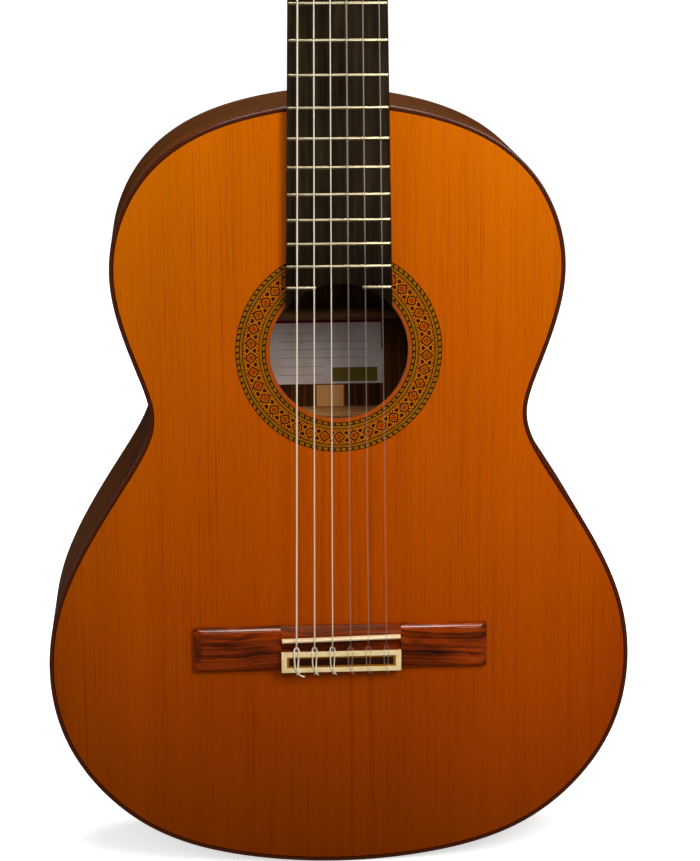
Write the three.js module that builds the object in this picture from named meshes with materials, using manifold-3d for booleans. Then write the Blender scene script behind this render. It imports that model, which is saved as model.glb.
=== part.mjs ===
// Classical guitar, Spanish construction, 650 mm scale. Millimetres.
// +Z runs up the neck, +X is the treble side, -Y is out of the soundboard.
// The origin is the middle of the end graft's flat face, at the tail end of the body.
import * as THREE from 'three';
import Module from 'manifold-3d';
import { NURBSCurve } from 'three/addons/curves/NURBSCurve.js';
import { mergeVertices } from 'three/addons/utils/BufferGeometryUtils.js';

const wasm = await Module();
wasm.setup();
const { lerp, clamp, smoothstep, degToRad } = THREE.MathUtils;

// ---------------------------------------------------------------- driving dimensions
// y is measured from the soundboard's face; the guitar group centres the tail depth on y = 0.
const SCALE = 650;                 // nut to theoretical saddle line
const COMPENSATION = 2.3;          // saddle line beyond the scale length
const BODY_LENGTH = 478;           // tail to neck joint
const DEPTH_TAIL = 100;            // rib depth at the tail, over the plates
const DEPTH_HEEL = 96;             // rib depth at the heel
const Z_12 = 477;                  // twelfth fret, at the body joint
const Z_NUT = Z_12 + SCALE / 2;
const Z_SADDLE = Z_NUT - SCALE - COMPENSATION;
const HOLE_Z = 329.1;
const HOLE_R = 42.2;
const TOP_T = 2.4;                 // thickness of the soundboard
const BACK_T = 2.5;
const RIB_T = 2.2;
const BIND_W = 2.8;
const TOP_BIND_H = 6;
const BACK_BIND_H = 5;
const GLUE = 0.05;                 // gap left at glue lines
const INSIDE_Y = TOP_T + GLUE;     // where parts glued under the soundboard start
const PAST_BACK = 110;             // a y beyond the whole back, for cutting solids

const FB_T = 6.3;                  // fingerboard thickness
const FB_NUT_W = 52;
const FB_12_W = 61;
const NUT_L = 5;
const NUT_H = 8.9;
const Z_HEAD = Z_NUT + NUT_L;      // where the headstock starts
const HEAD_TILT = degToRad(15);

// Headstock sizes, in the head's own frame: z = 0 at the nut, y = 0 level with its foot.
const HEAD_T = 18;
const HEAD_Y0 = 1;                 // joint of headstock and veneer
const HEAD_HALF_W = 36;
const SLOT_X0 = 8.5;
const SLOT_X1 = 24.5;
const ROLLER_Z = [58, 93, 128];    // from the nut outwards
const ROLLER_Y = HEAD_Y0 + HEAD_T / 2;

const STRING_Y_NUT = -8.7;
const STRING_Y_SADDLE = -12.3;
const STRING_Y_TIE = -5.4;
const NUT_SPREAD = 43;             // outer string to outer string
const SADDLE_SPREAD = 55.7;
// Strings 6 to 1 (E A D G B E): diameter, x where it meets its roller, index of the roller
const STRINGS = [
  [1.08, -20.6, 0], [0.88, -17.2, 1], [0.74, -15.4, 2],
  [1.02, 15.4, 2], [0.82, 17.2, 1], [0.71, 20.6, 0],
].map(([diameter, windX, roller], i) => ({
  number: 6 - i,
  side: Math.sign(windX),
  radius: diameter / 2,
  windX,
  rollerZ: ROLLER_Z[roller],
  nutX: (i / 5 - 0.5) * NUT_SPREAD,
  saddleX: (i / 5 - 0.5) * SADDLE_SPREAD,
}));

const backY = z => lerp(DEPTH_TAIL, DEPTH_HEEL, z / BODY_LENGTH);   // back plane at the rim
const fbHalf = z => lerp(FB_NUT_W, FB_12_W, (Z_NUT - z) / (SCALE / 2)) / 2;
const fretZ = n => Z_NUT - SCALE * (1 - 2 ** (-n / 12));

// ---------------------------------------------------------------- solids
function solid(geometry) {
  const bare = geometry.clone();
  for (const name of Object.keys(bare.attributes)) {
    if (name !== 'position') bare.deleteAttribute(name);
  }
  const merged = mergeVertices(bare, 1e-4);
  return new wasm.Manifold(new wasm.Mesh({
    numProp: 3,
    vertProperties: new Float32Array(merged.attributes.position.array),
    triVerts: new Uint32Array(merged.index.array),
  }));
}
function indexed(positions, indices) {
  return new THREE.BufferGeometry()
    .setAttribute('position', new THREE.Float32BufferAttribute(positions, 3))
    .setIndex(indices);
}
function geometryOf(manifold) {
  const { numProp, numVert, vertProperties, triVerts } = manifold.getMesh();
  const positions = new Float32Array(numVert * 3);
  for (let i = 0; i < numVert; i++) {
    positions.set(vertProperties.subarray(i * numProp, i * numProp + 3), i * 3);
  }
  const geometry = indexed(positions, [...triVerts]);
  geometry.computeVertexNormals();
  return geometry;
}
const cut = (base, ...tools) =>
  geometryOf(tools.reduce((result, tool) => result.subtract(solid(tool)), solid(base)));
const join = (base, ...more) =>
  geometryOf(more.reduce((result, part) => result.add(solid(part)), solid(base)));
const common = (base, ...others) =>
  geometryOf(others.reduce((result, other) => result.intersect(solid(other)), solid(base)));
const mirrorX = geometry => geometryOf(solid(geometry).mirror([1, 0, 0]));

// ---------------------------------------------------------------- drawings
const mirror = points => points.map(([x, z]) => [-x, z]);
// A right-hand half that ends on the centre line, and its mirror image.
const bothSides = (half, skip = 0) => [...half, ...mirror(half.slice(skip, -1)).reverse()];
// The same for a half that also starts on the centre line.
const closed = half => bothSides(half, 1);
const rect = (halfWidth, z0, z1) =>
  [[-halfWidth, z0], [halfWidth, z0], [halfWidth, z1], [-halfWidth, z1]];
// A range of x at this distance from the centre line, on one side (-1 or 1).
const span = (side, near, far) => (side > 0 ? [near, far] : [-far, -near]);
const vectors = points => points.map(p => new THREE.Vector2(p[0], p[1]));
const pathOf = points => new THREE.Path(vectors(points));
function shapeOf(points, ...holes) {
  const shape = new THREE.Shape(vectors(points));
  shape.holes = holes;
  return shape;
}
// An open line moved to the left of its own direction, with x to the right and z up.
// before and after are the neighbours of its two ends.
function moveLeft(points, distance, before = points[0], after = points.at(-1)) {
  return points.map(([x, z], i) => {
    const [x0, z0] = points[i - 1] ?? before;
    const [x1, z1] = points[i + 1] ?? after;
    const step = distance / Math.hypot(x1 - x0, z1 - z0);
    return [x - step * (z1 - z0), z + step * (x1 - x0)];
  });
}

// ---------------------------------------------------------------- basic forms
const box = (x0, x1, y0, y1, z0, z1) => new THREE.BoxGeometry(x1 - x0, y1 - y0, z1 - z0)
  .translate((x0 + x1) / 2, (y0 + y1) / 2, (z0 + z1) / 2);
// A box centred on x = 0.
const slab = (halfWidth, ...yzRanges) => box(-halfWidth, halfWidth, ...yzRanges);
// A drawing in x and z, extruded from y0 to y1.
function alongY(drawing, y0, y1, curveSegments = 12) {
  const shape = Array.isArray(drawing) ? shapeOf(drawing) : drawing;
  return new THREE.ExtrudeGeometry(shape, { depth: y1 - y0, bevelEnabled: false, curveSegments })
    .rotateX(Math.PI / 2).translate(0, y1, 0);
}
// A drawing in y and z, extruded from x0 to x1.
function alongX(points, x0, x1) {
  const toYZ = new THREE.Matrix4().set(0, 0, 1, x0, 1, 0, 0, 0, 0, 1, 0, 0, 0, 0, 0, 1);
  return new THREE.ExtrudeGeometry(shapeOf(points), { depth: x1 - x0, bevelEnabled: false })
    .applyMatrix4(toYZ);
}
// Turned about the Y axis: [radius, y] pairs, from the lowest y to the highest.
const turned = (profile, segments) => new THREE.LatheGeometry(vectors(profile), segments);
const rodX = (radius, [x0, x1], y, z, segments) =>
  new THREE.CylinderGeometry(radius, radius, x1 - x0, segments)
    .rotateZ(Math.PI / 2).translate((x0 + x1) / 2, y, z);
const rodY = (radius, [y0, y1], x, z, segments) =>
  new THREE.CylinderGeometry(radius, radius, y1 - y0, segments).translate(x, (y0 + y1) / 2, z);
const rodZ = (radius, [z0, z1], x, y, segments) =>
  new THREE.CylinderGeometry(radius, radius, z1 - z0, segments)
    .rotateX(Math.PI / 2).translate(x, y, (z0 + z1) / 2);

// A skin over rings of equal length, closed by a fan at each end.
// Each ring runs anticlockwise seen from the last ring.
function loft(rings) {
  const count = rings[0].length;
  const positions = rings.flat(2);
  const indices = [];
  for (let k = 0; k + 1 < rings.length; k++) {
    for (let i = 0; i < count; i++) {
      const a = k * count + i;
      const b = k * count + (i + 1) % count;
      indices.push(a, b, b + count, a, b + count, a + count);
    }
  }
  const cap = (k, flip) => {
    const middle = new THREE.Vector3();
    rings[k].forEach(p => middle.add(new THREE.Vector3(...p)));
    const centre = positions.length / 3;
    positions.push(...middle.divideScalar(count).toArray());
    for (let i = 0; i < count; i++) {
      const a = k * count + i;
      const b = k * count + (i + 1) % count;
      indices.push(centre, ...(flip ? [b, a] : [a, b]));
    }
  };
  cap(0, true);
  cap(rings.length - 1, false);
  return indexed(positions, indices);
}
// A round rod through the points, mitred at each bend.
function rodThrough(points, radius, sides) {
  const stations = points.map(p => new THREE.Vector3(...p));
  return loft(stations.map((station, i) => {
    const before = stations[Math.max(0, i - 1)];
    const after = stations[Math.min(stations.length - 1, i + 1)];
    const along = new THREE.Vector3().subVectors(after, before).normalize();
    const across = new THREE.Vector3(1, 0, 0).addScaledVector(along, -along.x).normalize();
    const third = new THREE.Vector3().crossVectors(along, across);
    return Array.from({ length: sides }, (_, k) => {
      const angle = 2 * Math.PI * (k + 0.5) / sides;
      return station.clone().addScaledVector(across, radius * Math.cos(angle))
        .addScaledVector(third, radius * Math.sin(angle)).toArray();
    });
  }));
}

// ---------------------------------------------------------------- groups and materials
const guitar = new THREE.Group();
guitar.name = 'classical_guitar';
guitar.position.y = -DEPTH_TAIL / 2;
const head = new THREE.Group();
head.position.z = Z_HEAD;
head.rotation.x = -HEAD_TILT;
head.updateMatrix();
guitar.add(head);

const finish = options => new THREE.MeshStandardMaterial(options);
const cedar = finish({ color: 0xb85e14, roughness: 0.28 });
const rosewood = finish({ color: 0x3a1c10, roughness: 0.3 });
const mahogany = finish({ color: 0x7a3d1e, roughness: 0.35 });
const ebony = finish({ color: 0x17120f, roughness: 0.45 });
const spruce = finish({ color: 0xc9a26b, roughness: 0.7 });
const inlay = finish({ color: 0xa8741f, roughness: 0.35 });
const bone = finish({ color: 0xe9dcb4, roughness: 0.4 });
const nickel = finish({ color: 0xcfcbbd, roughness: 0.25, metalness: 1 });
const brass = finish({ color: 0xb08d45, roughness: 0.3, metalness: 1 });
const nylon = finish({ color: 0xd9d5cf, roughness: 0.15 });
const wound = finish({ color: 0xc9c4be, roughness: 0.3, metalness: 0.9 });

function put(name, geometry, material, parent = guitar) {
  const mesh = new THREE.Mesh(geometry, material);
  mesh.name = name;
  parent.add(mesh);
  return mesh;
}

// ---------------------------------------------------------------- body outline
// Right half of the soundboard inside its binding, tail to neck:
// control points [x, z] of a cubic B-spline.
const OUTLINE_CONTROL = [
  [0, 0.31], [74.95, 8.33], [124.28, 27.53], [162.42, 65.86], [180.33, 112.75],
  [176.3, 173.57], [136.79, 238.46], [106.96, 281.72], [117.74, 311.8], [138.75, 365.77],
  [132.87, 411.92], [105.03, 452.8], [62.22, 470.07], [27.05, 475.04],
];
const OUTLINE_BINDING = 3;         // distance from that line out to the edge of the body
const OUTLINE_SAMPLES = 800;
const OUTLINE_STEPS = 34;

// Right half of the body's edge, tail to neck, as evenly spaced points.
// Both ends lie on the centre line.
function bodyEdge() {
  // three mirrored points carry the curve smoothly across the centre line
  const control = [...mirror(OUTLINE_CONTROL.slice(1, 4)).reverse(), ...OUTLINE_CONTROL];
  const spans = control.length - 3;
  const knots = Array.from({ length: control.length + 4 }, (_, i) => clamp(i - 3, 0, spans));
  const curve = new NURBSCurve(3, knots, control.map(([x, z]) => new THREE.Vector4(x, z, 0, 1)));
  const line = curve.getPoints(OUTLINE_SAMPLES).map(p => [p.x, p.y]);
  const edge = moveLeft(line, -OUTLINE_BINDING).filter(([x]) => x >= 0);
  return pathOf([[0, 0], ...edge, [0, BODY_LENGTH]]).getSpacedPoints(OUTLINE_STEPS)
    .map((p, i) => [i === 0 || i === OUTLINE_STEPS ? 0 : p.x, p.y]);
}
const bodyHalf = bodyEdge();
const [afterTail, beforeNeck] = mirror([bodyHalf[1], bodyHalf.at(-2)]);
const inset = distance => moveLeft(bodyHalf, distance, afterTail, beforeNeck);
const plateHalf = inset(BIND_W + GLUE);
const blockCavity = alongY(closed(inset(BIND_W + 0.1)), INSIDE_Y, PAST_BACK);

// ---------------------------------------------------------------- soundboard and rosette
const ROSETTE_R0 = 44.6;
const ROSETTE_R1 = 63;
const ROSETTE_T = 1.5;
const ROSETTE_GAP = 0.06;          // between the rosette and its recess
const HOLE_SEGMENTS = 24;

const aroundHole = (path, radius, clockwise) =>
  path.absarc(0, HOLE_Z, radius, 0, 2 * Math.PI, clockwise);
const holePath = radius => aroundHole(new THREE.Path(), radius, true);
function ring(inner, outer, y0, y1) {
  const shape = aroundHole(new THREE.Shape(), outer, false);
  shape.holes.push(holePath(inner));
  return alongY(shape, y0, y1, HOLE_SEGMENTS);
}
const soundboard = alongY(shapeOf(closed(plateHalf), holePath(HOLE_R)), 0, TOP_T, HOLE_SEGMENTS);
const recess = ring(ROSETTE_R0 - ROSETTE_GAP, ROSETTE_R1 + ROSETTE_GAP, -1, ROSETTE_T + GLUE);
put('soundboard', cut(soundboard, recess), cedar);
put('rosette', ring(ROSETTE_R0, ROSETTE_R1, 0, ROSETTE_T), inlay);

// ---------------------------------------------------------------- ribs, bindings, end graft
const GRAFT_HALF = 12;
const RIB_SLOT_HALF = 8.3;         // opening in the ribs for the neck's key
const TAIL_RIM = [-5, 20];         // z ranges that span the rim at each end
const NECK_RIM = [460, 490];
const throughRim = (halfWidth, zRange) => slab(halfWidth, -5, PAST_BACK, ...zRange);

// A drawing in x and z, extruded between two heights that vary with z.
function rimBand(drawing, lowAt, highAt) {
  const geometry = alongY(drawing, 0, 1);
  const { position } = geometry.attributes;
  for (let i = 0; i < position.count; i++) {
    const heightAt = position.getY(i) > 0.5 ? highAt : lowAt;
    position.setY(i, heightAt(position.getZ(i)));
  }
  return geometry;
}
const betweenBindings = drawing =>
  rimBand(drawing, () => TOP_BIND_H + GLUE, z => backY(z) - BACK_BIND_H - GLUE);

const ribStrip = [...bodyHalf, ...inset(RIB_T).reverse()];
for (const [name, strip] of [['side_bass', mirror(ribStrip)], ['side_treble', ribStrip]]) {
  const graftOpening = throughRim(GRAFT_HALF + 0.1, TAIL_RIM);
  const keyOpening = throughRim(RIB_SLOT_HALF, NECK_RIM);
  put(name, cut(betweenBindings(strip), graftOpening, keyOpening), rosewood);
}
const bindingLoop = shapeOf(closed(bodyHalf), pathOf(closed(inset(BIND_W))));
const neckOpening = throughRim(FB_12_W / 2 + 0.1, NECK_RIM);
put('top_binding', cut(alongY(bindingLoop, 0, TOP_BIND_H), neckOpening), rosewood);
put('back_binding', rimBand(bindingLoop, z => backY(z) - BACK_BIND_H, backY), rosewood);
put('end_graft', betweenBindings(rect(GRAFT_HALF, 0, RIB_T + 0.1)), rosewood);

// ---------------------------------------------------------------- arched back
const BACK_ARCH = 4;               // cross arch
const BACK_CELLS = 6;              // facets across the back

// The volume between two heights at the rim, both raised by the arch of the back.
function archedPlate(lowAt, highAt) {
  const positions = [];
  const indices = [];
  const add = (x, y, z) => positions.push(x, y, z) / 3 - 1;
  const quad = (a, b, c, d) => indices.push(a, b, c, a, c, d);
  const arch = (across, z) =>
    BACK_ARCH * (1 - across ** 2) * (1 - (2 * z / BODY_LENGTH - 1) ** 4);
  const layer = heightAt => plateHalf.slice(1, -1).map(([halfWidth, z]) =>
    Array.from({ length: BACK_CELLS + 1 }, (_, i) => {
      const across = 2 * i / BACK_CELLS - 1;
      return add(halfWidth * across, heightAt(z) + arch(across, z), z);
    }));
  const high = layer(highAt);
  const low = layer(lowAt);
  const tip = ([, z]) => [add(0, highAt(z), z), add(0, lowAt(z), z)];
  const last = BACK_CELLS;
  for (let k = 0; k + 1 < high.length; k++) {
    const [h0, h1, l0, l1] = [high[k], high[k + 1], low[k], low[k + 1]];
    for (let i = 0; i < last; i++) {
      quad(h0[i], h1[i], h1[i + 1], h0[i + 1]);
      quad(l0[i], l0[i + 1], l1[i + 1], l1[i]);
    }
    quad(h0[0], l0[0], l1[0], h1[0]);
    quad(h0[last], h1[last], l1[last], l0[last]);
  }
  // fans to the centre line at the tail and at the neck
  const [tailHigh, tailLow] = tip(plateHalf[0]);
  const [neckHigh, neckLow] = tip(plateHalf.at(-1));
  const [h0, h1, l0, l1] = [high[0], high.at(-1), low[0], low.at(-1)];
  for (let i = 0; i < last; i++) {
    indices.push(tailHigh, h0[i], h0[i + 1], tailLow, l0[i + 1], l0[i]);
    indices.push(neckHigh, h1[i + 1], h1[i], neckLow, l1[i], l1[i + 1]);
  }
  quad(tailHigh, tailLow, l0[0], h0[0]);
  quad(tailHigh, h0[last], l0[last], tailLow);
  quad(neckHigh, h1[0], l1[0], neckLow);
  quad(neckHigh, neckLow, l1[last], h1[last]);
  return indexed(positions, indices);
}
// Everything from this far inside the back's inner face outwards.
const fromBack = depth => archedPlate(z => backY(z) - BACK_T - depth, z => backY(z) + 40);
const backEnvelope = fromBack(GLUE);
put('back_plate', archedPlate(z => backY(z) - BACK_T, backY), rosewood);

// ---------------------------------------------------------------- tail block and bracing
const TAIL_BLOCK = slab(38, INSIDE_Y, PAST_BACK, 0, 17);
put('tail_block', cut(common(TAIL_BLOCK, blockCavity), backEnvelope), mahogany);

// Soundboard bracing, glued up as one lattice.
const FAN_Z = 258;                 // harmonic bar where the fan struts start
const UPPER_BAR_Z = 402;
const FAN_CLOSING = 0.36;          // spread of the struts at that bar against their tail ends
const FAN_ENDS = [                 // x, z of each strut's tail end
  [-96, 62], [-64, 44], [-32, 30], [0, 26], [32, 30], [64, 44], [96, 62],
];
// x, z of both ends, width, height
const TOP_BARS = [
  [-118, FAN_Z, 118, FAN_Z, 6, 16],
  [-108, UPPER_BAR_Z, 108, UPPER_BAR_Z, 6, 16],
  ...FAN_ENDS.map(([x, z]) => [x * FAN_CLOSING, FAN_Z, x, z, 5, 4.2]),
  ...[-1, 1].flatMap(side => [
    [0, 30, side * 118, 78, 5, 3.4],                        // closing bar
    [side * 68, FAN_Z, side * 68, UPPER_BAR_Z, 7, 6],       // beside the soundhole
  ]),
];
function topBar([x0, z0, x1, z1, width, height]) {
  const [dx, dz] = [x1 - x0, z1 - z0];
  return new THREE.BoxGeometry(width, height, Math.hypot(dx, dz)).rotateY(Math.atan2(dx, dz))
    .translate((x0 + x1) / 2, INSIDE_Y + height / 2, (z0 + z1) / 2);
}
const topLimit = alongY(closed(inset(9)), INSIDE_Y, 40);
put('top_bracing', common(join(...TOP_BARS.map(topBar)), topLimit), spruce);

// Back bracing: a thin joint strip along the middle and tall cross braces.
const BRACE_Z = [118, 194, 270, 337];
const BRACE_HALF_L = 170;
const BRACE_HALF_W = 3.5;
const BRACE_H = 14;
const STRIP_HALF_W = 9;
const STRIP_H = 2.6;
const STRIP_Z = [22, 398];
const BRACE_Y = [80, PAST_BACK];   // contains all of the back bracing
const jointStrip = common(slab(STRIP_HALF_W, ...BRACE_Y, ...STRIP_Z), fromBack(STRIP_H));
const crossBraces = BRACE_Z.map(z => common(
  slab(BRACE_HALF_L, ...BRACE_Y, z - BRACE_HALF_W, z + BRACE_HALF_W), fromBack(BRACE_H)));
const backLimit = alongY(closed(inset(10)), INSIDE_Y, PAST_BACK);
put('back_bracing',
  cut(common(join(jointStrip, ...crossBraces), backLimit), backEnvelope), spruce);

// ---------------------------------------------------------------- neck and heel cap
const CAP_T = 3;
const HEEL_Y = DEPTH_HEEL - CAP_T; // where the heel ends, under its cap
const HEEL_REACH = 78;             // z over which the heel fades into the shaft
const HEEL_CURVE = 2.4;
const SHAFT_T0 = 17.2;             // shaft depth at the body, extrapolated
const SHAFT_T1 = 14.6;             // and from SHAFT_TAPER onwards
const SHAFT_TAPER = 300;
const HANDSTOP_L = 22;             // length of the swelling below the nut
const NECK_END_T = 19.6;
const NECK_END_FLARE = 0.5;        // extra half width at the head
const NOSE_HALF_W = 12.5;          // the heel's flat nose
const NOSE_START = 0.86;           // share of a heel section's points above the nose
const SECTION_STEPS = 9;           // from the edge to the middle of the back
const NECK_STATIONS = [
  BODY_LENGTH + GLUE, 481, 485, 490, 496, 503, 511, 520, 530, 541, 556,
  600, 650, 700, 750, 780, 786, 792, 798, Z_HEAD,
];
function neckSection(z) {
  const up = z - BODY_LENGTH;
  const toHead = smoothstep(z, Z_NUT - HANDSTOP_L, Z_HEAD);
  const toHeel = 1 - Math.sqrt(1 - (1 - Math.min(1, up / HEEL_REACH)) ** HEEL_CURVE);
  const heelShape = Math.min(1, toHeel * 1.6);
  const shaftT = lerp(SHAFT_T0, SHAFT_T1, Math.min(1, up / SHAFT_TAPER));
  const depth = lerp(lerp(shaftT, HEEL_Y, toHeel), NECK_END_T, toHead);
  const halfWidth = fbHalf(Math.min(z, Z_NUT)) + toHead * NECK_END_FLARE;
  // exponents of the oval: low ones make it squarer
  const xPower = lerp(0.86, 0.34, toHead);
  const yPower = lerp(0.92, 0.34, toHead);
  const half = Array.from({ length: SECTION_STEPS + 1 }, (_, k) => {
    const share = k / SECTION_STEPS;
    const angle = share * Math.PI / 2;
    const ovalX = halfWidth * Math.cos(angle) ** xPower;
    const ovalY = depth * Math.sin(angle) ** yPower;
    const down = Math.min(1, share / NOSE_START);
    const heelX = share > NOSE_START
      ? NOSE_HALF_W * (1 - share) / (1 - NOSE_START)
      : lerp(halfWidth, NOSE_HALF_W, down ** 0.75);
    return [lerp(ovalX, heelX, heelShape), lerp(ovalY, depth * down, heelShape)];
  });
  return bothSides(half).map(([x, y]) => [x, y, z]);
}
function neck() {
  const jointZ = BODY_LENGTH + 1;
  const foot = join(slab(30, INSIDE_Y, 92.8, 438, 475.4), slab(22, 80, PAST_BACK, 404, 440));
  const key = slab(8, INSIDE_Y, 90.6, 470, jointZ);
  const shoulder = slab(30, 0, TOP_BIND_H - 0.2, 475.3, jointZ);
  const footInBody = common(cut(foot, backEnvelope), blockCavity);
  return join(loft(NECK_STATIONS.map(neckSection)), footInBody, key, shoulder);
}
put('neck', neck(), mahogany);

// Right half of the cap: x, z from the body
const CAP_HALF = [[12.6, 0], [12.4, 1.2], [11, 3], [8.2, 5.2], [4.4, 6.8], [0, 7.4]];
const heelCap = alongY(bothSides(CAP_HALF), HEEL_Y + GLUE, DEPTH_HEEL + 0.2)
  .translate(0, 0, BODY_LENGTH + GLUE);
put('heel_cap', heelCap, rosewood);

// ---------------------------------------------------------------- fingerboard, frets, nut
const FB_END_Z = 356;              // the board's width here sets the ends of its hollow end
const FB_END_STEPS = 12;
const FRETS = 19;
const TANG_HALF = 0.3;
const TANG_D = 1.8;
const TANG_GAP = 0.1;
const FRET_INSET = 0.15;           // fret end to the edge of the board
const LAST_FRET_GAP_HALF = 13.6;   // the last fret is split over the soundhole

function fingerboard() {
  const endAngle = Math.asin(fbHalf(FB_END_Z) / HOLE_R);
  const end = Array.from({ length: FB_END_STEPS + 1 }, (_, k) => {
    const angle = lerp(-endAngle, endAngle, k / FB_END_STEPS);
    return [HOLE_R * Math.sin(angle), HOLE_Z + HOLE_R * Math.cos(angle)];
  });
  const nutEnd = Z_NUT - 0.02;
  const outline = [...end, [fbHalf(Z_NUT), nutEnd], [-fbHalf(Z_NUT), nutEnd]];
  const slotHalf = TANG_HALF + TANG_GAP;
  const slots = Array.from({ length: FRETS }, (_, i) => fretZ(i + 1))
    .map(z => slab(40, -FB_T - 1, -FB_T + TANG_D + 0.15, z - slotHalf, z + slotHalf));
  return cut(alongY(outline, -FB_T, 0), ...slots);
}
put('fingerboard', fingerboard(), ebony);

// Fret section, crown and tang: y from the board's face, z from the fret line
const FRET_SECTION = [
  [0, -1.1], [-0.65, -0.9], [-1, -0.3], [-1, 0.3], [-0.65, 0.9], [0, 1.1],
  [0, TANG_HALF], [TANG_D, TANG_HALF], [TANG_D, -TANG_HALF], [0, -TANG_HALF],
];
for (let n = 1; n <= FRETS; n++) {
  const z = fretZ(n);
  const half = fbHalf(z) - FRET_INSET;
  const pieces = n < FRETS ? [['', [-half, half]]] : [
    ['_bass', span(-1, LAST_FRET_GAP_HALF, half)],
    ['_treble', span(1, LAST_FRET_GAP_HALF, half)],
  ];
  for (const [suffix, xRange] of pieces) {
    const fret = alongX(FRET_SECTION, ...xRange).translate(0, -FB_T, z);
    put('fret_' + String(n).padStart(2, '0') + suffix, fret, nickel);
  }
}

// Nut section: y, z from the end of the fingerboard
const NUT_SECTION = [
  [0, 0], [0.5 - NUT_H, 0], [-NUT_H, 0.6], [-NUT_H, 1.6], [1.6 - NUT_H, NUT_L], [0, NUT_L],
];
function nut() {
  const blank = alongX(NUT_SECTION, -FB_NUT_W / 2, FB_NUT_W / 2).translate(0, 0, Z_NUT);
  const grooves = STRINGS.map(({ radius, nutX }) => {
    const reach = radius + 0.3;
    return box(nutX - reach, nutX + reach, -12, STRING_Y_NUT + reach, Z_NUT - 1, Z_HEAD + 1);
  });
  return cut(blank, ...grooves);
}
put('nut', nut(), bone);

// ---------------------------------------------------------------- bridge, tie block trim, saddle
const BRIDGE_HALF_L = 91;
const BRIDGE_MID = 37.3;           // half length of the part between the wings
const BRIDGE_Z0 = Z_SADDLE - 21.4; // tail edge
const BRIDGE_Z1 = Z_SADDLE + 6.5;  // soundhole edge
const TIE_Z1 = Z_SADDLE - 8.2;     // edge of the tie block towards the saddle
const TIE_H = 8.6;
const TRIM_T = 1.3;
const TIE_HOLE_R = 1.15;
const SADDLE_SLOT_HALF = 1.35;
const WING_H = 6.2;
const WING_EDGE_H = 3.4;           // height where the bevels start
const WING_BEVEL_Z = 2.2;
const WING_BEVEL_X = 5.5;

// y, z
const BRIDGE_SECTION = [
  [0, BRIDGE_Z0], [0, BRIDGE_Z1], [-2.8, BRIDGE_Z1], [-6.9, Z_SADDLE + 2.9],
  [-7.3, Z_SADDLE + 2.5], [-7.3, Z_SADDLE - 2.8], [-4, Z_SADDLE - 2.8], [-4, TIE_Z1],
  [-TIE_H, TIE_Z1], [-TIE_H, BRIDGE_Z0],
];
// The treble wing, bevelled on three sides.
function bridgeWing() {
  const x0 = BRIDGE_MID - 0.01;
  const level = (y, bevelX, bevelZ) => {
    const [x1, z0, z1] = [BRIDGE_HALF_L - bevelX, BRIDGE_Z0 + bevelZ, BRIDGE_Z1 - bevelZ];
    return [[x0, y, z0], [x1, y, z0], [x1, y, z1], [x0, y, z1]];
  };
  return loft([
    level(0, 0, 0), level(-WING_EDGE_H, 0, 0), level(-WING_H, WING_BEVEL_X, WING_BEVEL_Z),
  ]);
}
function bridge() {
  const wing = bridgeWing();
  const middle = alongX(BRIDGE_SECTION, -BRIDGE_MID, BRIDGE_MID);
  const slot = slab(BRIDGE_MID - 0.4, -12, -3.4,
    Z_SADDLE - SADDLE_SLOT_HALF, Z_SADDLE + SADDLE_SLOT_HALF);
  const holes = STRINGS.map(({ saddleX }) =>
    rodZ(TIE_HOLE_R, [BRIDGE_Z0 - 1, TIE_Z1 + 1], saddleX, STRING_Y_TIE, 8));
  return cut(join(middle, wing, mirrorX(wing)), slot, ...holes);
}
put('bridge', bridge(), rosewood);

const trimWindow = pathOf(rect(BRIDGE_MID - 3.6, BRIDGE_Z0 + 2.9, TIE_Z1 - 3.3));
const trimFrame = shapeOf(rect(BRIDGE_MID - 0.2, BRIDGE_Z0, TIE_Z1), trimWindow);
put('tie_block_trim', alongY(trimFrame, -TIE_H - TRIM_T, -TIE_H), bone);

// y, z from the saddle line
const SADDLE_SECTION = [
  [-3.45, -1.25], [-10.1, -1.25], [-10.9, -0.55], [-11.45, 0.15],
  [-11.35, 0.8], [-10.6, 1.25], [-3.45, 1.25],
];
const SADDLE_HALF_L = BRIDGE_MID - 0.6;
put('saddle',
  alongX(SADDLE_SECTION, -SADDLE_HALF_L, SADDLE_HALF_L).translate(0, 0, Z_SADDLE), bone);

// ---------------------------------------------------------------- headstock
const VENEER_T = 2.2;
const SLOT_Z = [34, 152];
const HEAD_SEGMENTS = 5;
const BARREL_BORE_R = 5.4;
const JOURNAL_BORE_R = 3.7;
// Right half above its foot: x, z
const HEAD_HALF = [
  [26.6, 2], [27.6, 7], [30.6, 13], [34.2, 18], [35.7, 22], [HEAD_HALF_W, 27],
  [HEAD_HALF_W, 173], [34.6, 178.5], [30, 182.5], [23, 184.2], [16.5, 184.8],
  [11.5, 187.2], [6, 190.2], [0, 191.2],
];
// Slope that leads the strings into a slot: y, z
const RAMP_SECTION = [[-3, 16], [-3, 46], [8, 46], [8, 41]];

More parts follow.
